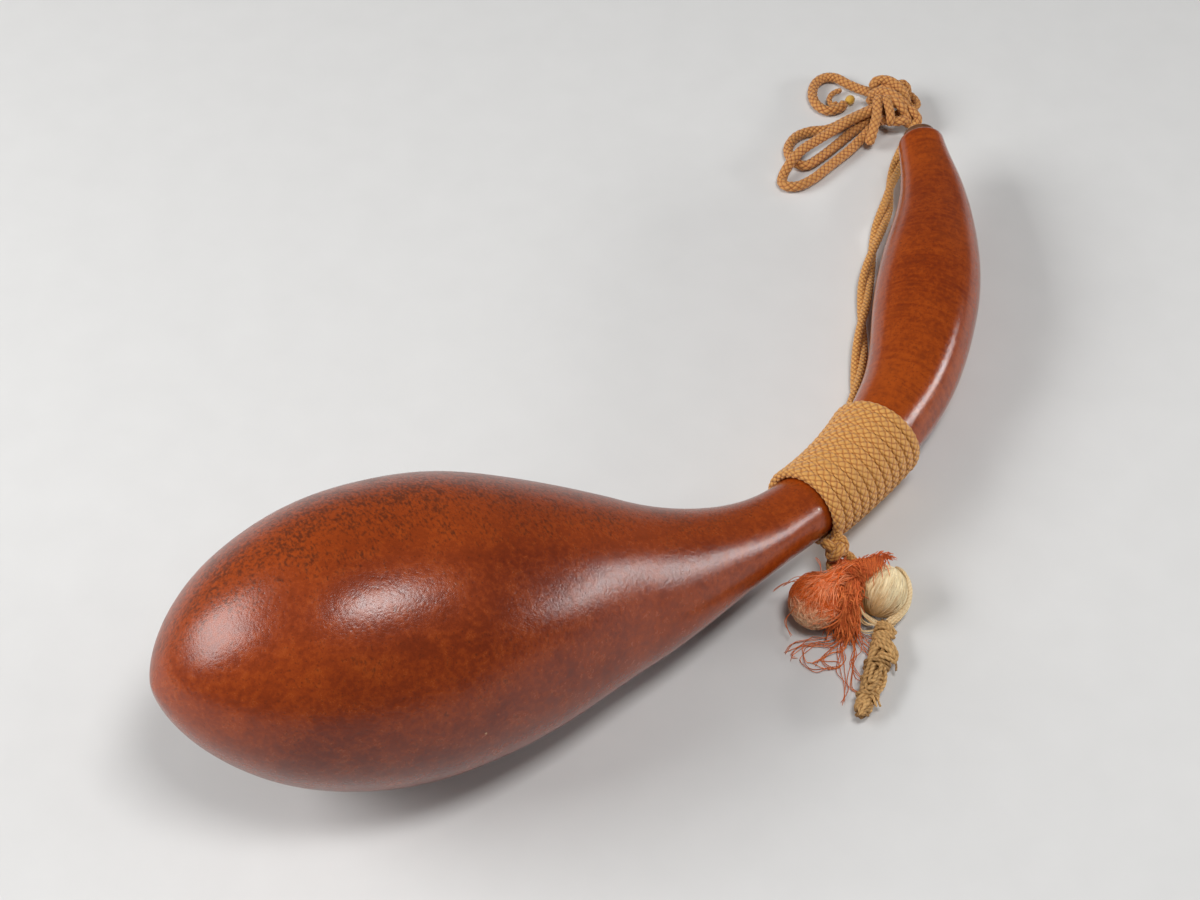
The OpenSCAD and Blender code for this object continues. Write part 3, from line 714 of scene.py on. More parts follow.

# %% [markdown]
# ## The bow
# Past the mouth the cord is tied in a bow: two long loops fall to the left over the floor, one
# small loop hangs in front of the knot and one stands at its right, and a loose end curls round
# behind. The knot is several passes of the same cord over each other. Each free stretch is one
# braid along given points, and the knot is short arcs laid over one another as they are seen.

# %% Loops and loose ends of the bow
ROUTES = {
    "long": [[113, 191, 9], [99, 183.5, 7.5], [91, 177.5, 7], [84, 172, 6.6], [77, 165.5, 6.6],
             [71.5, 158.5, 4.5], [69, 153, 2.4], [70.5, 149.5, 2.4], [75.5, 149.5, 2.4],
             [82, 154, 2.4], [89, 161.5, 2.4], [97, 170, 2.4], [104, 178.5, 3.2], [112.5, 189, 5]],
    "short": [[112, 194.5, 6], [99, 188.5, 3.5], [90, 183.5, 2.4], [82, 182, 2.4],
              [76, 178.5, 2.4], [72.5, 171.5, 2.4], [74, 164.5, 2.4], [79, 161.5, 2.4],
              [85.5, 166.5, 2.4], [93, 174.5, 2.4], [100.5, 182.5, 2.8], [110, 190, 4.5]],
    "front": [[110.5, 193, 12], [109.5, 188, 12.2], [109, 183.5, 11.2], [108, 179.5, 9.8],
              [107, 176, 7.6], [106, 174, 5], [105.5, 173, 3]],
    "side": [[117, 201, 9], [120.5, 204, 9], [123.5, 204, 8], [124, 200.5, 7], [126, 197.5, 7],
             [127, 193.5, 7], [124, 191, 6.5], [119.5, 191.5, 8]],
    "curl": [[112, 201.5, 6], [106, 207, 3], [100, 211.5, 2.4], [95, 215.5, 2.4],
             [90, 215.5, 2.4], [86, 211.5, 2.4], [84.5, 204.5, 2.4], [86, 198.5, 2.4],
             [90, 195, 2.4], [95, 196.5, 2.4], [98, 200, 2.4]],
    "thin": [[97, 208.5, 2], [93.5, 206.5, 2], [91.5, 203, 2], [92, 199.5, 2], [95, 199.8, 2]],
}


def bow_cord(name, thick, points, replaces=()):
    """A stretch of the bow's braid through its points, with fewer cells where it is thinner."""
    line = smooth_line(points)
    cells = 5 if thick > 3 else 4 if thick > 2.5 else 3
    return braided(name, line, thick, cells, 2.5, LOOSE_BRAID, replaces), line


bow = {}
for name, points in ROUTES.items():
    stands_for = ("cord_end_" if name in ("curl", "thin") else "bow_loop_") + name
    thick = {"side": 2.7, "thin": 2.2}.get(name, 4.0)
    bow[name] = bow_cord("bow_braid_" + name, thick, points, [stands_for])
    print(name, round(lengths(bow[name][1])[-1], 1), "mm")

# %% Passes of the bow's knot
PASSES = [
    (4.0, [[108.5, 202, 8], [110.5, 204, 10.5], [114.5, 203.5, 11.5], [118, 201, 11.5],
           [121, 197, 10.5], [122.5, 192, 8]]),
    (4.0, [[107.5, 200, 5], [111, 198, 10], [115, 194, 12.5], [119, 190.5, 12], [122, 188, 9],
           [124, 187, 5.5]]),
    (4.0, [[109.5, 196.5, 5], [112.5, 193.5, 10], [116.5, 189, 12.5], [119.5, 186.5, 11],
           [121.5, 185.5, 7]]),
    (4.0, [[111.5, 188, 3], [113.5, 184, 7], [117, 182, 8], [120.5, 183, 7.5], [123, 184.5, 4]]),
    (3.6, [[113, 192, 12.6], [113.5, 187.5, 13], [114.2, 184, 11.8], [114.5, 181.5, 9.5],
           [114, 181.5, 6.5]]),
    (3.4, [[120.5, 190, 10], [123.5, 186.5, 10], [126, 184.5, 8], [126, 183, 5.5],
           [125, 184, 2.2]]),
    (2.7, [[120, 188, 9.5], [121.5, 185, 9], [122.5, 183, 6.5], [123, 182.5, 4]]),
    (4.0, [[108, 196, 3], [112, 192, 3.5], [117, 190, 4], [122, 192, 4], [125, 196, 4],
           [122, 201, 4], [116, 203, 4], [110, 201.5, 4], [107.5, 198, 3.4]]),
    (2.7, [[118.5, 202.5, 8], [121, 205, 9], [123, 203.5, 8.5], [123, 200.5, 7]]),
    (4.0, [[109.5, 200.5, 5], [112.5, 201.6, 8], [116, 200.4, 9], [119.5, 197, 8], [121, 193, 5]]),
]
for k, (thick, points) in enumerate(PASSES):
    bow_cord("bow_pass_%d" % k, thick, points, ["bow_knot"] if k == 0 else ())

# %% [markdown]
# ## The wrapped tip
# The loose end is whipped with mustard silk into a small bead, so that the braid can't fray. A
# ball with fine ridges round it shows the turns of the whipping.

# %% Bead
whip = Finish("mustard_whipping", "tip_silk", Roughness=0.55, Sheen_Weight=0.3)
groove = whip.unrolled("Y").ripple(60)
# The whipping is lighter on its ridges and darker in the grooves between turns: painted highlight
# and painted shade.
whip.shader_in("Base Color", whip.mix(groove * 0.7 + whip.noise(300) * 0.3, (0.45, 0.210, 0.015),
                                      (0.86, 0.520, 0.060)))
whip.relief(groove, 0.5, 0.0001)
t = np.linspace(0.03, np.pi - 0.03, 40)
lean = unit(np.array([0.62, 0.75, 0.1]))
side = unit(np.cross(lean, [0, 0, 1]))
line = np.array([100.0, 201.6, 2.4]) + (-2.1 * np.cos(t))[:, None] * lean
rings = tube(line, 1.95 * np.sin(t) ** 0.8 + 0.05 * np.sin(t * 34), 32,
             [np.broadcast_to(v, line.shape) for v in (side, np.cross(lean, side))])
bead = surface("whipped_tip", rings, "gourd", whip, uv=(1, t), replaces=["end_bead"])

for name, far_end, extra in (("long", "knot", []), ("short", "knot", []),
                             ("curl", "bare", [bow["thin"][0], bead])):
    free_cord(*bow[name], 4, far_end, extra)

# %% [markdown]
# ## Silk threads
# The tassel is made of loose silk: soft balls, a heap of red threads over them and a wound tail.
# Each thread is a fine tube with a few sides along its own curve. Whole families are worked out
# at once, as an array of lines, and a thread that meets a ball is pushed out to its surface.

# %% Silk finishes
def silk_finish(name, low, high):
    """Silk whose colour runs from low to high with the painted tone, darker where luck is high.
    On threads luck is random; on yarns, cores and balls it is painted shade in their hollows, and
    their tone is raised on ridges as a painted highlight.
    """
    silk = Finish(name, name, Roughness=0.6, Sheen_Weight=0.20, Sheen_Roughness=0.35,
                  Sheen_Tint=high, Specular_IOR_Level=0.25)
    streak = silk.noise(420, 4, 0.65)
    colour = silk.mix((silk.painted("tone") + (streak - 0.5) * 0.7).between(0, 1), low, high)
    colour = silk.mix(silk.painted("luck") * 0.4, colour, shaded(low, 0.4))
    silk.shader_in("Base Color", colour)
    silk.relief(silk.noise(2600, 2, 0.5), 0.3, 0.0002)
    return silk


RED_SILK = silk_finish("red_silk", (0.50, 0.065, 0.014), (0.88, 0.250, 0.065))
ORANGE_SILK = silk_finish("orange_silk", (0.86, 0.155, 0.016), (1.0, 0.68, 0.42))
CREAM_SILK = silk_finish("cream_silk", (0.76, 0.47, 0.20), (1.0, 0.86, 0.57))
TAN_SILK = silk_finish("tan_silk", (0.15, 0.064, 0.016), (0.68, 0.40, 0.155))
print("silks are", [silk.slot for silk in (RED_SILK, ORANGE_SILK, CREAM_SILK, TAN_SILK)])

# %% A maker of threads
DICE = np.random.default_rng(7)
ORANGE_AT, ORANGE_R = np.array([68.85, -62.356, 9.8]), 9.5
CREAM_AT, CREAM_R = np.array([91.836, -57.47, 9.3]), 9.0
TAIL_AT = np.array([91.836, -67.498, 4.304])


def bezier(*points, steps):
    """Many curves at once: each point is an array of control points, weighted by the binomial
    terms of t."""
    p = np.stack(np.broadcast_arrays(*(np.asarray(q, float) for q in points)), -2)
    n = p.shape[-2] - 1
    t = np.linspace(0, 1, steps)[:, None]
    k = np.arange(n + 1)
    w = np.array([math.comb(n, i) for i in k]) * t ** k * (1 - t) ** (n - k)
    return np.einsum("tk,...kx->...tx", w, p)


def outside(lines, lift, floor_at=0.25):
    """Pushes points that are in a silk ball out to its surface, and up from the floor."""
    for centre, r in ((ORANGE_AT, ORANGE_R), (CREAM_AT, CREAM_R)):
        away = lines - centre
        far = np.linalg.norm(away, axis=-1, keepdims=True)
        lines = np.where(far < r + lift, centre + away / far * (r + lift), lines)
    return above(lines, floor_at)


def threads(name, lines, thick, finish, tone, count=4, replaces=()):
    """Fine tubes along many lines, thinner towards both ends, each with its own luck."""
    n, k = lines.shape[:2]
    taper = np.clip(np.minimum(np.arange(k) + 0.6, k - 0.4 - np.arange(k)) / 2, 0.25, 1)
    radius = np.broadcast_to(np.asarray(thick, float).reshape(-1, 1) / 2, (n, k)) * taper
    luck = DICE.random((n, 1, 1)) ** 2
    surface(name, tube(lines, radius, count), "tassel", finish, replaces=replaces,
            tone=np.asarray(tone, float).reshape(n, -1, 1), luck=luck)


print("the balls' centres are", round(math.dist(ORANGE_AT, CREAM_AT), 1), "mm apart")

# %% [markdown]
# ## The hanging knot and its ring
# Under the winding the cord is tied in a small round knot, and a loop of cord in that knot carries
# the silk. A trefoil has the crossings that such a knot shows, so the braid simply follows its
# curve: x = sin t + 2 sin 2t, y = cos t - 2 cos 2t, z = -sin 3t. The ring is a tilted circle, and
# it rides on the tassel, so that it turns in the knot.

# %% Hanging knot and ring
RING_AT = np.array([78.585, -47.234, 9.773])


def closed_braid(name, line, radius, count, body, node, frames=None):
    """A braid of six cells round and sixteen stitches along a line that ends where it starts."""
    far = lengths(line)
    lay = far[-1] / 16
    rings = tube(line, radius + stitches(far, 6, lay, count, 0.13), count, frames)
    surface(name, rings[:-1], body, GOLD_BRAID, uv=(6, far / lay), closed=True, replaces=[node])


t = np.linspace(0, 2 * np.pi, 241)
closed_braid("hanging_knot", np.array([75.7, -44.6, 16.4]) + np.stack(
    [1.2 * (np.sin(t) + 2 * np.sin(2 * t)), 1.15 * (np.cos(t) - 2 * np.cos(2 * t)),
     -1.9 * np.sin(3 * t)], -1), 1.75, 28, "gourd", "tassel_knot")
line = smooth_line([beside(236, 176, skin_r(236) + 3.4), beside(234, 184, skin_r(234) + 4.2),
                    [76.8, -40.6, 19.6], [76.2, -43, 18.6]])
braided("knot_neck", line, 3.4, 6, 1.6, GOLD_BRAID, count=24, deep=0.17)

tilt = turn("z", -62) @ turn("y", 28)
t = np.linspace(0, 2 * np.pi, 121)
line = RING_AT + np.stack([4.4 * np.cos(t), 4.4 * np.sin(t), 0.25 * np.sin(2 * t)], -1) @ tilt.T
away = unit(line - RING_AT)
closed_braid("cord_ring", line, 1.55, 24, "tassel", "tassel_ring",
             (away, np.cross(direction(line), away)))

# %% [markdown]
# ## The two silk balls
# One ball is faded orange, and pink-cream where the dye has gone. The other is straw coloured,
# lighter towards its upper right as painted light, with its fibres combed from the top to the lower
# left. Each has a soft core, whose lumps follow the fibres, under a coat of fine threads that
# follow its surface. Both are painted lighter on their ripples and darker between them, as
# highlight and shade.

# %% Silk balls
def ball(name, centre, r, pole, finish, fading_and_painted_light, node, rough, streaks):
    """A ball round a pole: r + ripples that run from pole to pole + soft lumps."""
    t = np.linspace(0.02, np.pi - 0.02, 90)[:, None]
    a = np.linspace(0, 2 * np.pi, 160, endpoint=False)[None]
    pole = unit(np.asarray(pole, float))
    side = unit(np.cross(pole, [0.3, 0.2, 1.0]))
    over = np.cross(pole, side)
    ways = (np.cos(t)[..., None] * -pole + (np.sin(t) * np.cos(a))[..., None] * side
            + (np.sin(t) * np.sin(a))[..., None] * over)
    ripple = sum(np.sin(a * n + 3 * np.sin(t * 2 + n) + n) for n in streaks) / len(streaks)
    lumps = np.sin(5 * t + 2 * np.sin(2 * a)) * np.sin(3 * a + 2 * t)
    rings = above(centre + (r - 0.5 + rough * ripple * np.sin(t) + 0.2 * lumps)[..., None] * ways,
                  0.2)
    # The tone rises in one direction: towards the lower front of the orange ball, where its dye has
    # faded, and towards the upper right of the cream ball, its lit side, as painted light.
    tone = fading_and_painted_light[3] + 1.1 * ((rings - centre) @ np.array(fading_and_painted_light[:3])) / r + 0.3 * ripple
    # The ripples' crests are made lighter and their furrows darker: painted highlight and painted
    # shade.
    surface(name, rings, "tassel", finish, replaces=[node], tone=np.clip(tone, 0, 1),
            luck=0.08 - 0.15 * ripple)


def coat(name, centre, r, pole, finish, fading_and_painted_light, count, span, sway, thick):
    """Threads that start anywhere on a ball and run on over it, away from its pole."""
    pole = unit(np.asarray(pole, float))
    start = unit(DICE.normal(size=(count, 3)))
    drift = unit(np.cross(start, np.cross(start, pole))
                 + sway * DICE.normal(size=(count, 3)))[:, None]
    bend = unit(DICE.normal(size=(count, 1, 3)))
    go = np.linspace(0, 1, 12)[None, :, None]
    reach = span * (0.5 + DICE.random((count, 1, 1)))
    lines = start[:, None] + reach * go * drift + sway * 0.5 * reach * go ** 2 * bend
    lift = r - 0.3 + 0.6 * DICE.random((count, 1, 1)) * np.sin(np.pi * go)
    lines = above(centre + lift * unit(lines), 0.25)
    # The threads take the ball's tone gradient: faded dye on the orange ball, painted light on the
    # cream one.
    tone = (fading_and_painted_light[3] + 1.1 * ((lines - centre) @ np.array(fading_and_painted_light[:3])) / r
            + 0.22 * DICE.normal(size=(count, 1)))
    threads(name, lines, thick * (0.6 + 0.8 * DICE.random(count)), finish, np.clip(tone, 0, 1))


# The last four numbers of each give the direction and offset of the tone: the orange ball's faded
# side, and the cream ball's lit side as painted light.
ORANGE = (ORANGE_AT, ORANGE_R, (0.75, 0.45, 0.50), ORANGE_SILK, (-0.44, -0.76, -0.55, -0.04))
CREAM = (CREAM_AT, CREAM_R, (0.45, 0.70, 0.55), CREAM_SILK, (0.55, 0.35, 0.45, 0.55))
ball("orange_ball", *ORANGE, "pompom_orange", 0.42, (7, 11, 17, 23))
coat("orange_fluff", *ORANGE, 1300, 0.8, 0.75, 0.25)
ball("cream_ball", *CREAM, "pompom_cream", 0.22, (9, 16, 27, 38))
coat("cream_fibres", *CREAM, 900, 1.5, 0.07, 0.19)

# %% [markdown]
# ## The heap of red threads
# The threads leave the ring together, spread over the groove between the balls and hang in front
# of them, where the longest curl on the floor. Each is a curve from the ring over the groove to
# its own place, and what would sink into a ball is pushed out of it.

# %% Red threads
def spread(n, centre, around):
    """n points about a centre, with a normal spread along each axis."""
    return np.asarray(centre, float) + DICE.normal(size=(n, 3)) * around


def waves(lines, size, turns):
    """Adds a slow sideways wave of its own to each line, none at its start."""
    n, k = lines.shape[:2]
    go = np.linspace(0, 1, k)[None, :, None]
    way, other = DICE.normal(size=(2, n, 1, 3))
    phase = 2 * np.pi * DICE.random((n, 1, 1))
    turns = turns * (0.6 + 0.8 * DICE.random((n, 1, 1)))
    return lines + size * go ** 0.5 * (np.sin(2 * np.pi * turns * go + phase) * way
                                       + np.cos(2 * np.pi * turns * go + phase) * other)


n = 760
fan = DICE.random((n, 1)) ** 1.35
wide = np.clip(DICE.normal(-0.08, 0.46, (n, 1)), -1.2, 0.52 + 0.1 * DICE.random((n, 1)))
root = spread(n, [80.8, -52.6, 12.6], [1.3, 0.9, 1.0])
crest = np.concatenate([79.6 + 6.0 * wide, -57.5 - 3.0 * fan, 19.2 - 3.5 * np.abs(wide)], 1)
front = np.concatenate([79.0 + 6.2 * wide, -62.5 - 5.0 * fan, 16.0 - 6.5 * fan], 1)
foot = np.concatenate([78.8 + 5.6 * wide, -63.5 - 9.5 * fan ** 1.4, 12.5 - 11.8 * fan], 1)
foot += DICE.normal(0, 1.4, (n, 3))
lines = waves(bezier(root, crest, front, foot, steps=20), 0.62, 1.8)
lines = outside(lines, 0.2 + 1.1 * DICE.random((n, 1, 1)))
threads("red_threads", lines, 0.26 + 0.36 * DICE.random(n) ** 2, RED_SILK,
        0.15 + 0.65 * DICE.random((n, 1)) + 0.2 * np.linspace(0, 1, 20), replaces=["thread_heap"])

n = 320
start = spread(n, [77.8, -47.8, 12.0], [1.5, 0.7, 0.8])
lines = bezier(start, spread(n, [78.6, -50.5, 17.0], [1.5, 0.6, 0.8]),
               spread(n, [79.2, -56.5, 18.6], [2.4, 1.2, 0.7]), steps=14)
threads("ring_tuft", outside(waves(lines, 0.25, 1.4), 0.3), 0.24 + 0.2 * DICE.random(n), RED_SILK,
        0.1 + 0.8 * DICE.random((n, 1)))

n = 260
start = spread(n, [78.5, -56.0, 17.0], [1.6, 2.0, 1.0])
top = np.concatenate([74 - 7 * DICE.random((n, 1)), -58 - 6 * DICE.random((n, 1)),
                      20.5 + DICE.random((n, 1))], 1)
land = ORANGE_AT + (ORANGE_R + 0.4) * unit(spread(n, [0.10, -0.15, 0.85], 0.42))
lines = outside(waves(bezier(start, top, land, steps=16), 0.25, 1.3),
                0.15 + 0.6 * DICE.random((n, 1, 1)))
threads("orange_cover", lines, 0.22 + 0.2 * DICE.random(n), ORANGE_SILK,
        0.35 * DICE.random((n, 1)))

# %% Heap core, so that no light shows through the threads
core = [[80.6, -53.4, 9.5], [80.3, -56.0, 12.0], [80.3, -58.8, 13.0], [80.3, -62, 11.9],
        [80.2, -64.6, 9.4], [80.1, -66.4, 6.4], [80.0, -67.2, 4.0]]
line = smooth_line(core, 0.4)
far = lengths(line)[:, None]
a = np.arange(48)[None] * 2 * np.pi / 48
plump = np.interp(far, far[-1] * np.array([0, 0.15, 0.45, 0.8, 1]), [1.0, 1.9, 2.2, 1.7, 0.6])
rags = 0.30 * np.sin(9 * a + 2.5 * np.sin(far / 2.1)) + 0.22 * np.sin(17 * a - far * 1.7)
# The core is dark, and darker still in the hollows between its rags: painted shade deep inside the
# heap.
surface("heap_core", tube(line, plump + rags, 48), "tassel", RED_SILK, tone=0.1 + 0.3 * rags,
        luck=0.7 - rags)

# %% [markdown]
# ## Curls, strays and a frayed edge
# Some threads have come loose. A few curl on the floor before the heap or stick out at the left,
# and these are seen one by one, so each follows listed points. A ragged fringe runs from the ring
# over the cream ball. Only its density shows, so it is scattered about one curve.

# %% Curls and strays
def neighbours(routes, apart, each, count):
    """Several lines beside each of a few given routes, all of one count of points."""
    return np.stack([even_line(smooth_line(spread(len(route), route, apart)), count=count)
                     for route in routes for _ in range(each)])


def free_threads(name, routes, thick, tone, apart, each, finish=RED_SILK):
    """Several loose threads along each route, less far apart in height."""
    lines = neighbours(routes, [apart, apart, 0.3 * apart], each, 44)
    tones = tone + 0.2 * DICE.normal(size=(len(lines), 1))
    threads(name, outside(lines, 0.25), thick, finish, tones, count=6)


free_threads("red_curls", [
    [[79, -70, 6], [77.5, -73, 3], [74, -75, 1], [69, -74.5, 0.6], [65, -76.5, 0.6],
     [64, -80, 0.6], [67, -83.5, 0.6], [72, -84, 0.6], [76, -82.5, 0.8]],
    [[80, -71, 5], [76, -75, 1.5], [71, -79, 0.6], [67, -82, 0.6]],
    [[78, -71, 5], [74, -73.5, 1.2], [66, -74, 0.6], [60.5, -77, 0.6], [61, -79.5, 0.6]],
    [[79, -71, 5], [76, -77, 1.2], [76.5, -84, 0.6], [77.5, -90, 0.6], [76, -97, 0.6]],
    [[80.5, -71, 5], [80.5, -78, 1.2], [81.5, -82, 0.6], [79.5, -90, 0.6], [81.5, -93.5, 0.6]],
    [[82, -70, 6], [84, -75, 2], [86, -78.5, 0.8]],
    [[81.5, -70, 7], [83, -73.5, 4], [86.5, -76, 2]],
    [[78, -70, 6], [73, -72.5, 1.5], [68, -71.5, 0.6], [62, -73.0, 0.6], [58, -76.5, 0.6]],
    [[79.5, -71, 4], [77, -75.5, 1], [72.5, -77.5, 0.6], [70.5, -81, 0.6], [73.5, -83.0, 0.6],
     [76.5, -80, 0.6], [77.0, -76.5, 0.8]],
    [[80.5, -71, 4], [82.0, -75.5, 0.8], [80, -80.5, 0.6], [82.5, -86.5, 0.6], [86.0, -89.5, 0.6]],
    [[81.5, -70, 5], [84.5, -72.5, 2.5], [87.5, -72.5, 2.0], [89.0, -75.0, 2.5]],
], 0.25, 0.7, 0.9, 3)
free_threads("stray_left", [
    [[66, -59, 18], [61, -58.5, 18], [57, -59, 14]],
    [[63.5, -58.5, 16.2], [58.5, -57.5, 14], [54.5, -56.5, 8.5]],
    [[62, -66, 13], [58.5, -68, 7], [60, -72, 3]],
    [[70, -57.5, 17.8], [69.5, -54.5, 20], [68.5, -53.0, 21]],
], 0.22, 0.6, 0.35, 2)

# %% Frayed edges
n = 300
line = bezier([79.0, -51.5, 14.5], [83.5, -51.5, 18.6], [88.5, -50.6, 18.4], [93.3, -47.6, 15.8],
              steps=60)
start = spread(n, line[(DICE.random(n) * 59).astype(int)], [0.7, 0.7, 0.6])
reach = 1.4 + 2.2 * DICE.random((n, 1))
comb = unit(spread(n, [0.85, -0.05, 0.0], 0.42))
lines = outside(waves(bezier(start, start + 0.5 * reach * comb + [0, 0, 0.5], start + reach * comb,
                             steps=10), 0.15, 1.0), 0.25)
threads("frayed_edge", lines, 0.22 + 0.16 * DICE.random(n), RED_SILK,
        0.1 + 0.6 * DICE.random((n, 1)))

n = 420
start = spread(n, line[(DICE.random(n) ** 0.8 * 50).astype(int)], [0.6, 0.5, 0.4])
land = CREAM_AT + (CREAM_R + 0.3) * unit(
    (start - CREAM_AT)[:, :1] * [1, 0.42, 0] + spread(n, [0.0, 3.8, 7.4], [0.8, 1.5, 0.7]))
lines = outside(waves(bezier(start, (start + land) / 2 + [0, 0, 2.0], land, steps=12), 0.2, 1.2),
                0.15 + 0.4 * DICE.random((n, 1, 1)))
threads("cream_edge", lines, 0.26, RED_SILK, 0.2 + 0.7 * DICE.random((n, 1)))

# %% [markdown]
# ## Yarns on the cream ball
# A hank of two-ply yarns comes round the right of the cream ball and passes under its front to
# the root of the tail. Two tubes could be twisted for each yarn, but one tube whose section is a
# two-lobed flower looks the same and needs half the faces: its radius is
# thick / 2 * (0.78 + 0.22 |cos(a - 2 pi s / lay)|), so that the lobes turn along it.

# %% Yarns
def yarns(name, lines, thick, body, finish, tone, replaces=()):
    """Two-ply yarns along many lines, with rounded ends."""
    far = lengths(lines)
    a = np.arange(12) * 2 * np.pi / 12
    lobe = np.abs(np.cos(a - 2 * np.pi * far[..., None] / (2.4 * thick)))
    rings = tube(lines, thick / 2 * (0.78 + 0.22 * lobe) * rounded(far, thick / 2, 0.03), 12)
    own = (len(lines), 1, 1)
    # The plies are lighter on their lobes and darker between them: painted highlight and painted
    # shade.
    surface(name, rings, body, finish, replaces=replaces,
            tone=tone + 0.35 * (lobe - 0.6) + 0.15 * DICE.normal(size=own),
            luck=0.55 * (1 - lobe) + 0.2 * DICE.random(own))


def hank(routes, apart, each, count):
    """Neighbours of a few routes that stay off the floor."""
    return above(neighbours(routes, apart, each, count), 0.7)


yarns("straw_hank", outside(hank([
    [[97.0, -50.5, 6.0], [99.9, -53.0, 8.6], [101.2, -57.5, 9.4], [100.0, -62.3, 7.0],
     [96.5, -65.8, 5.0], [92.5, -68.0, 5.0]],
    [[96.0, -50.8, 9.0], [98.9, -53.2, 11.6], [100.3, -57.8, 11.8], [99.3, -62.8, 8.4],
     [95.5, -66.6, 5.6], [91.5, -68.6, 4.6]],
    [[95.5, -51.5, 11.5], [97.8, -53.6, 13.6], [99.0, -58.0, 13.6], [98.0, -63.2, 10.0],
     [94.4, -67.2, 6.2], [91.0, -68.8, 5.0]]], [0.30, 0.30, 0.45], 5, 70), 0.3, 0.7),
      1.0, "tassel", CREAM_SILK, 0.45)
yarns("straw_under", outside(hank([
    [[83.2, -61, 12.5], [84.0, -64.5, 8.0], [87.0, -67.0, 5.2], [90.5, -68.3, 5.0]],
    [[84.5, -64.0, 5.5], [88.0, -66.6, 4.6], [91.5, -68.2, 4.6]],
    [[98.0, -63.5, 3.2], [95.0, -66.6, 3.0], [92.0, -68.2, 3.6]]], [0.35, 0.35, 0.35], 4, 50),
    0.2, 0.6), 0.8, "tassel", CREAM_SILK, 0.3)
free_threads("straw_loops", [
    [[81.0, -63.5, 12.5], [82.3, -66.8, 9.5], [85.2, -69.0, 6.6], [90.0, -69.4, 5.2]],
    [[82.0, -64.0, 12.5], [84.0, -66.8, 9.0], [87.0, -68.6, 6.2], [91.0, -69.0, 5.0]],
    [[80.5, -65.0, 10.5], [81.6, -69.2, 6.6], [85.0, -71.0, 4.2], [90.0, -70.2, 4.0]],
], 0.36, 0.35, 0.5, 4, CREAM_SILK)

# %% [markdown]
# ## The wound tail
# The tail is a thick bundle of tan yarns. It is bound at its root, bulges where folds of the hank
# stick out, is wound again at four places and ends in a nub. All of it is laid on one shape:
# a point is named by its share of the length, its angle and how far it stands off the skin, so
# wraps are helices, and folds are short listed routes.

# %% The shape of the tail
TAIL_R, TAIL_LONG = 2.8, 40
TAIL_SHARES = np.array([
    [0, 0.68, 0.68, 0], [0.12, 0.68, 0.68, 0], [0.15, 0.85, 0.85, 0.1], [0.2, 0.9, 0.9, 0.1],
    [0.25, 1.15, 1, 0.3], [0.31, 1.35, 1.1, 0.45], [0.38, 1.38, 1.15, 0.45],
    [0.45, 1.25, 1.1, 0.3], [0.54, 1.25, 1.1, 0.3], [0.63, 1.25, 1.1, 0.3], [0.7, 1.1, 1.05, 0.2],
    [0.77, 1, 1, 0.1], [0.83, 0.92, 0.95, 0], [0.91, 1, 1, 0], [0.97, 0.75, 0.75, 0],
    [1, 0.3, 0.3, 0]])
TAIL_WAY, TAIL_SIDE = turn("z", -106)[:, 0], turn("z", -16)[:, 0]


def tail_point(share, degrees, proud=0.0):
    """A point on the tail's skin: along it, and round it from the right side over the top."""
    share, a, proud = np.broadcast_arrays(share, np.radians(degrees), proud)
    wide, high, shift = (np.interp(share, TAIL_SHARES[:, 0], TAIL_SHARES[:, k]) for k in (1, 2, 3))
    x = TAIL_R * shift + (TAIL_R * wide + proud) * np.cos(a)
    z = (TAIL_R * high + proud) * np.sin(a)
    return (TAIL_AT + (TAIL_LONG * share)[..., None] * TAIL_WAY + x[..., None] * TAIL_SIDE
            + z[..., None] * np.array([0, 0, 1.0]))


def tail_yarns(name, routes, apart, count, thick, tone, replaces=()):
    """Tan yarns along routes, whose rows are share, degrees and how far they stand off."""
    routes = [tail_point(*np.array(route, float).T) for route in routes]
    yarns(name, hank(routes, apart, 1, count), thick, "tail", TAN_SILK, tone, replaces)


def helix(start, stop, turns, proud, phase, lean=0.0):
    """Rows for a strand that winds round the tail, and leans over it by a share of its length."""
    go = np.linspace(0, 1, int(abs(turns) * 14) + 4)
    turned = phase + 360 * turns * go
    return np.stack([start + (stop - start) * go + lean * np.sin(np.radians(turned)), turned,
                     proud + 0 * go], -1)


print("the tail ends at", tail_point(1, 0).round(1))

# %% The tail's core, wraps and folds
share = np.linspace(0, 1, 160)[:, None]
degrees = np.arange(64)[None] * 360 / 64
ridge = (np.sin(np.radians(7 * degrees) + 60 * share)
         + 0.7 * np.sin(70 * share + np.radians(degrees)))
proud = 0.18 * ridge - np.where(share < 0.13, 0.25, 0.75) * np.clip(share / 0.02, 0.3, 1)
# The core is dark, and darker still between its ridges: painted shade under and between the yarns
# laid on it.
surface("tail_core", tail_point(share, degrees, proud), "tail", TAN_SILK,
        tone=0.1 + 0.15 * ridge, luck=0.55 - 0.2 * ridge, replaces=["tassel_tail"])
tail_yarns("tail_strands", [helix(0.09, 0.93, 0.8, -0.55, k * 40, 0.01) for k in range(9)],
           [0.18, 0.18, 0.15], 130, 1.75, 0.6)
tail_yarns("collar_wraps", [helix(0.030, 0.118, 3.2, 0.45, 0), helix(0.035, 0.11, 2.6, 0.6, 150)],
           [0.12, 0.12, 0.12], 130, 1.15, 0.6, ["tail_collar"])
tail_yarns("tail_wraps", [
    helix(0.14, 0.205, 2.3, 0.35, 40, 0.01), helix(0.40, 0.50, 2.4, 0.30, 200, 0.02),
    helix(0.56, 0.66, 1.6, 0.30, 300, 0.03), helix(0.745, 0.805, 1.5, 0.40, 250, 0.012)],
    [0.12, 0.12, 0.1], 120, 1.3, 0.7)
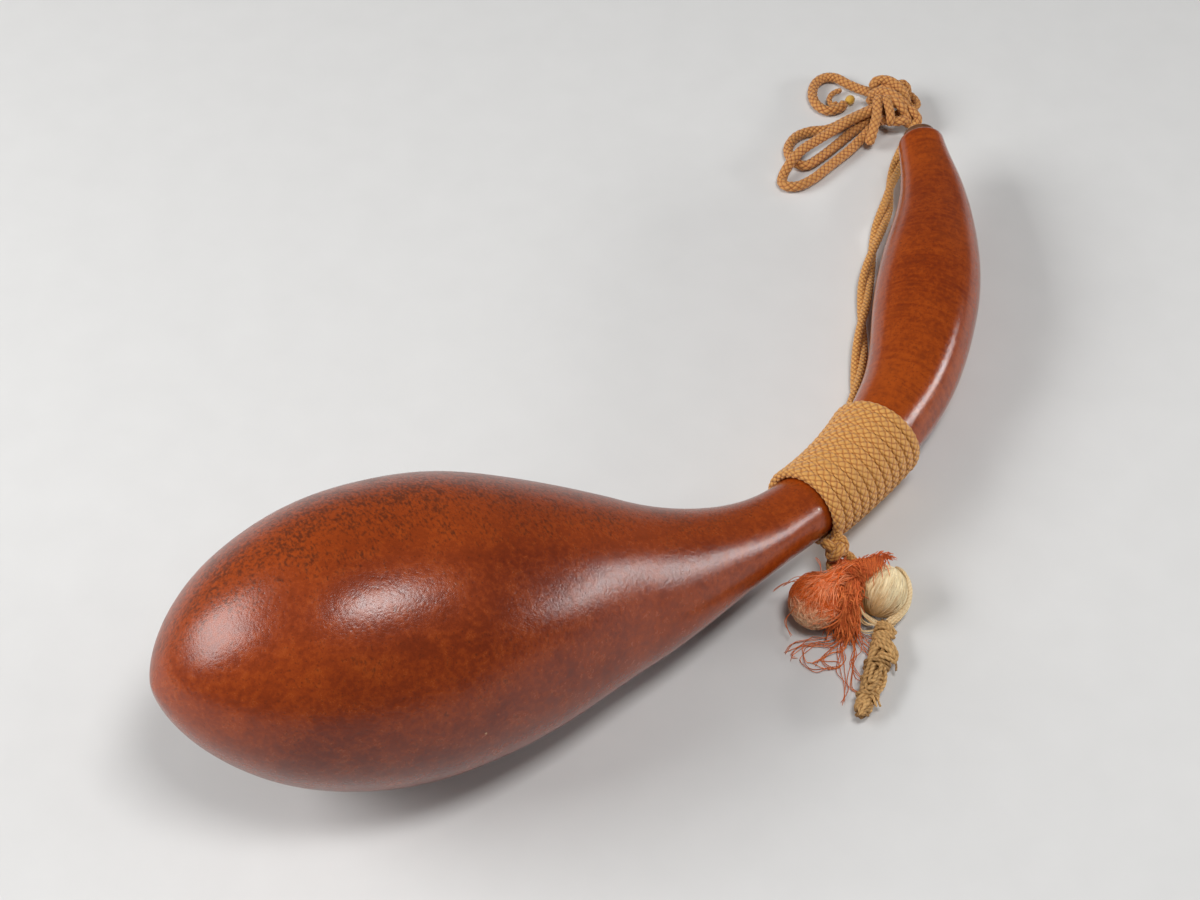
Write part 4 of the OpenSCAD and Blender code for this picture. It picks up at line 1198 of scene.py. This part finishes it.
tail_yarns("tail_folds", [
    [[0.24, 120, 0.2], [0.27, 70, 0.7], [0.30, 25, 1.5], [0.335, 0, 1.8], [0.36, 25, 1.3],
     [0.37, 80, 0.4]],
    [[0.27, 130, 0.3], [0.31, 75, 0.8], [0.345, 30, 1.3], [0.385, 8, 1.4], [0.40, 45, 0.9],
     [0.40, 95, 0.3]],
    [[0.22, 95, 0.3], [0.24, 50, 1.0], [0.265, 15, 1.5], [0.30, 12, 1.4], [0.31, 60, 0.7],
     [0.30, 110, 0.3]],
    [[0.44, 120, 0.4], [0.55, 128, 0.6], [0.68, 118, 0.5], [0.745, 95, 0.5], [0.70, 70, 0.6],
     [0.58, 62, 0.7], [0.46, 70, 0.5]],
    [[0.50, 100, 0.9], [0.60, 105, 1.0], [0.68, 95, 0.9], [0.66, 82, 0.9], [0.56, 80, 0.9]],
    [[0.48, 40, 0.6], [0.57, 25, 1.1], [0.66, 20, 1.3], [0.74, 28, 0.9], [0.70, 50, 0.5]],
    [[0.04, 60, 0.4], [0.055, 25, 1.4], [0.08, 5, 2.2], [0.11, 10, 1.9], [0.115, 50, 0.7]],
    [[0.07, 70, 0.5], [0.10, 30, 1.5], [0.135, 10, 2.0], [0.15, 30, 1.2], [0.14, 75, 0.5]]],
    [0.16, 0.16, 0.12], 90, 1.45, 0.75)
tail_yarns("tail_nub", [
    helix(0.865, 0.975, 2.4, -0.55, 90, 0.02), helix(0.84, 0.88, 1.3, -0.25, 270),
    [[0.86, 150, -0.4], [0.91, 130, -0.2], [0.95, 115, -0.4], [0.985, 100, -0.6]],
    [[0.86, 90, -0.4], [0.91, 85, 0.0], [0.95, 90, -0.2], [0.985, 95, -0.6]],
    [[0.86, 35, -0.4], [0.91, 42, -0.1], [0.95, 60, -0.3], [0.985, 80, -0.6]]],
    [0.08, 0.08, 0.06], 130, 1.15, 0.65)
tail_yarns("loose_tips", [
    [[0.76, 40, 0.3], [0.80, 20, 1.4], [0.845, 15, 2.4]],
    [[0.74, 20, 0.6], [0.79, 5, 1.6], [0.825, -10, 2.6]],
    [[0.78, 60, 0.2], [0.83, 40, 1.4], [0.88, 25, 1.9]],
    [[0.36, 20, 1.2], [0.40, 5, 2.4], [0.43, -10, 2.8]]], [0.15, 0.15, 0.1], 40, 0.85, 0.8)
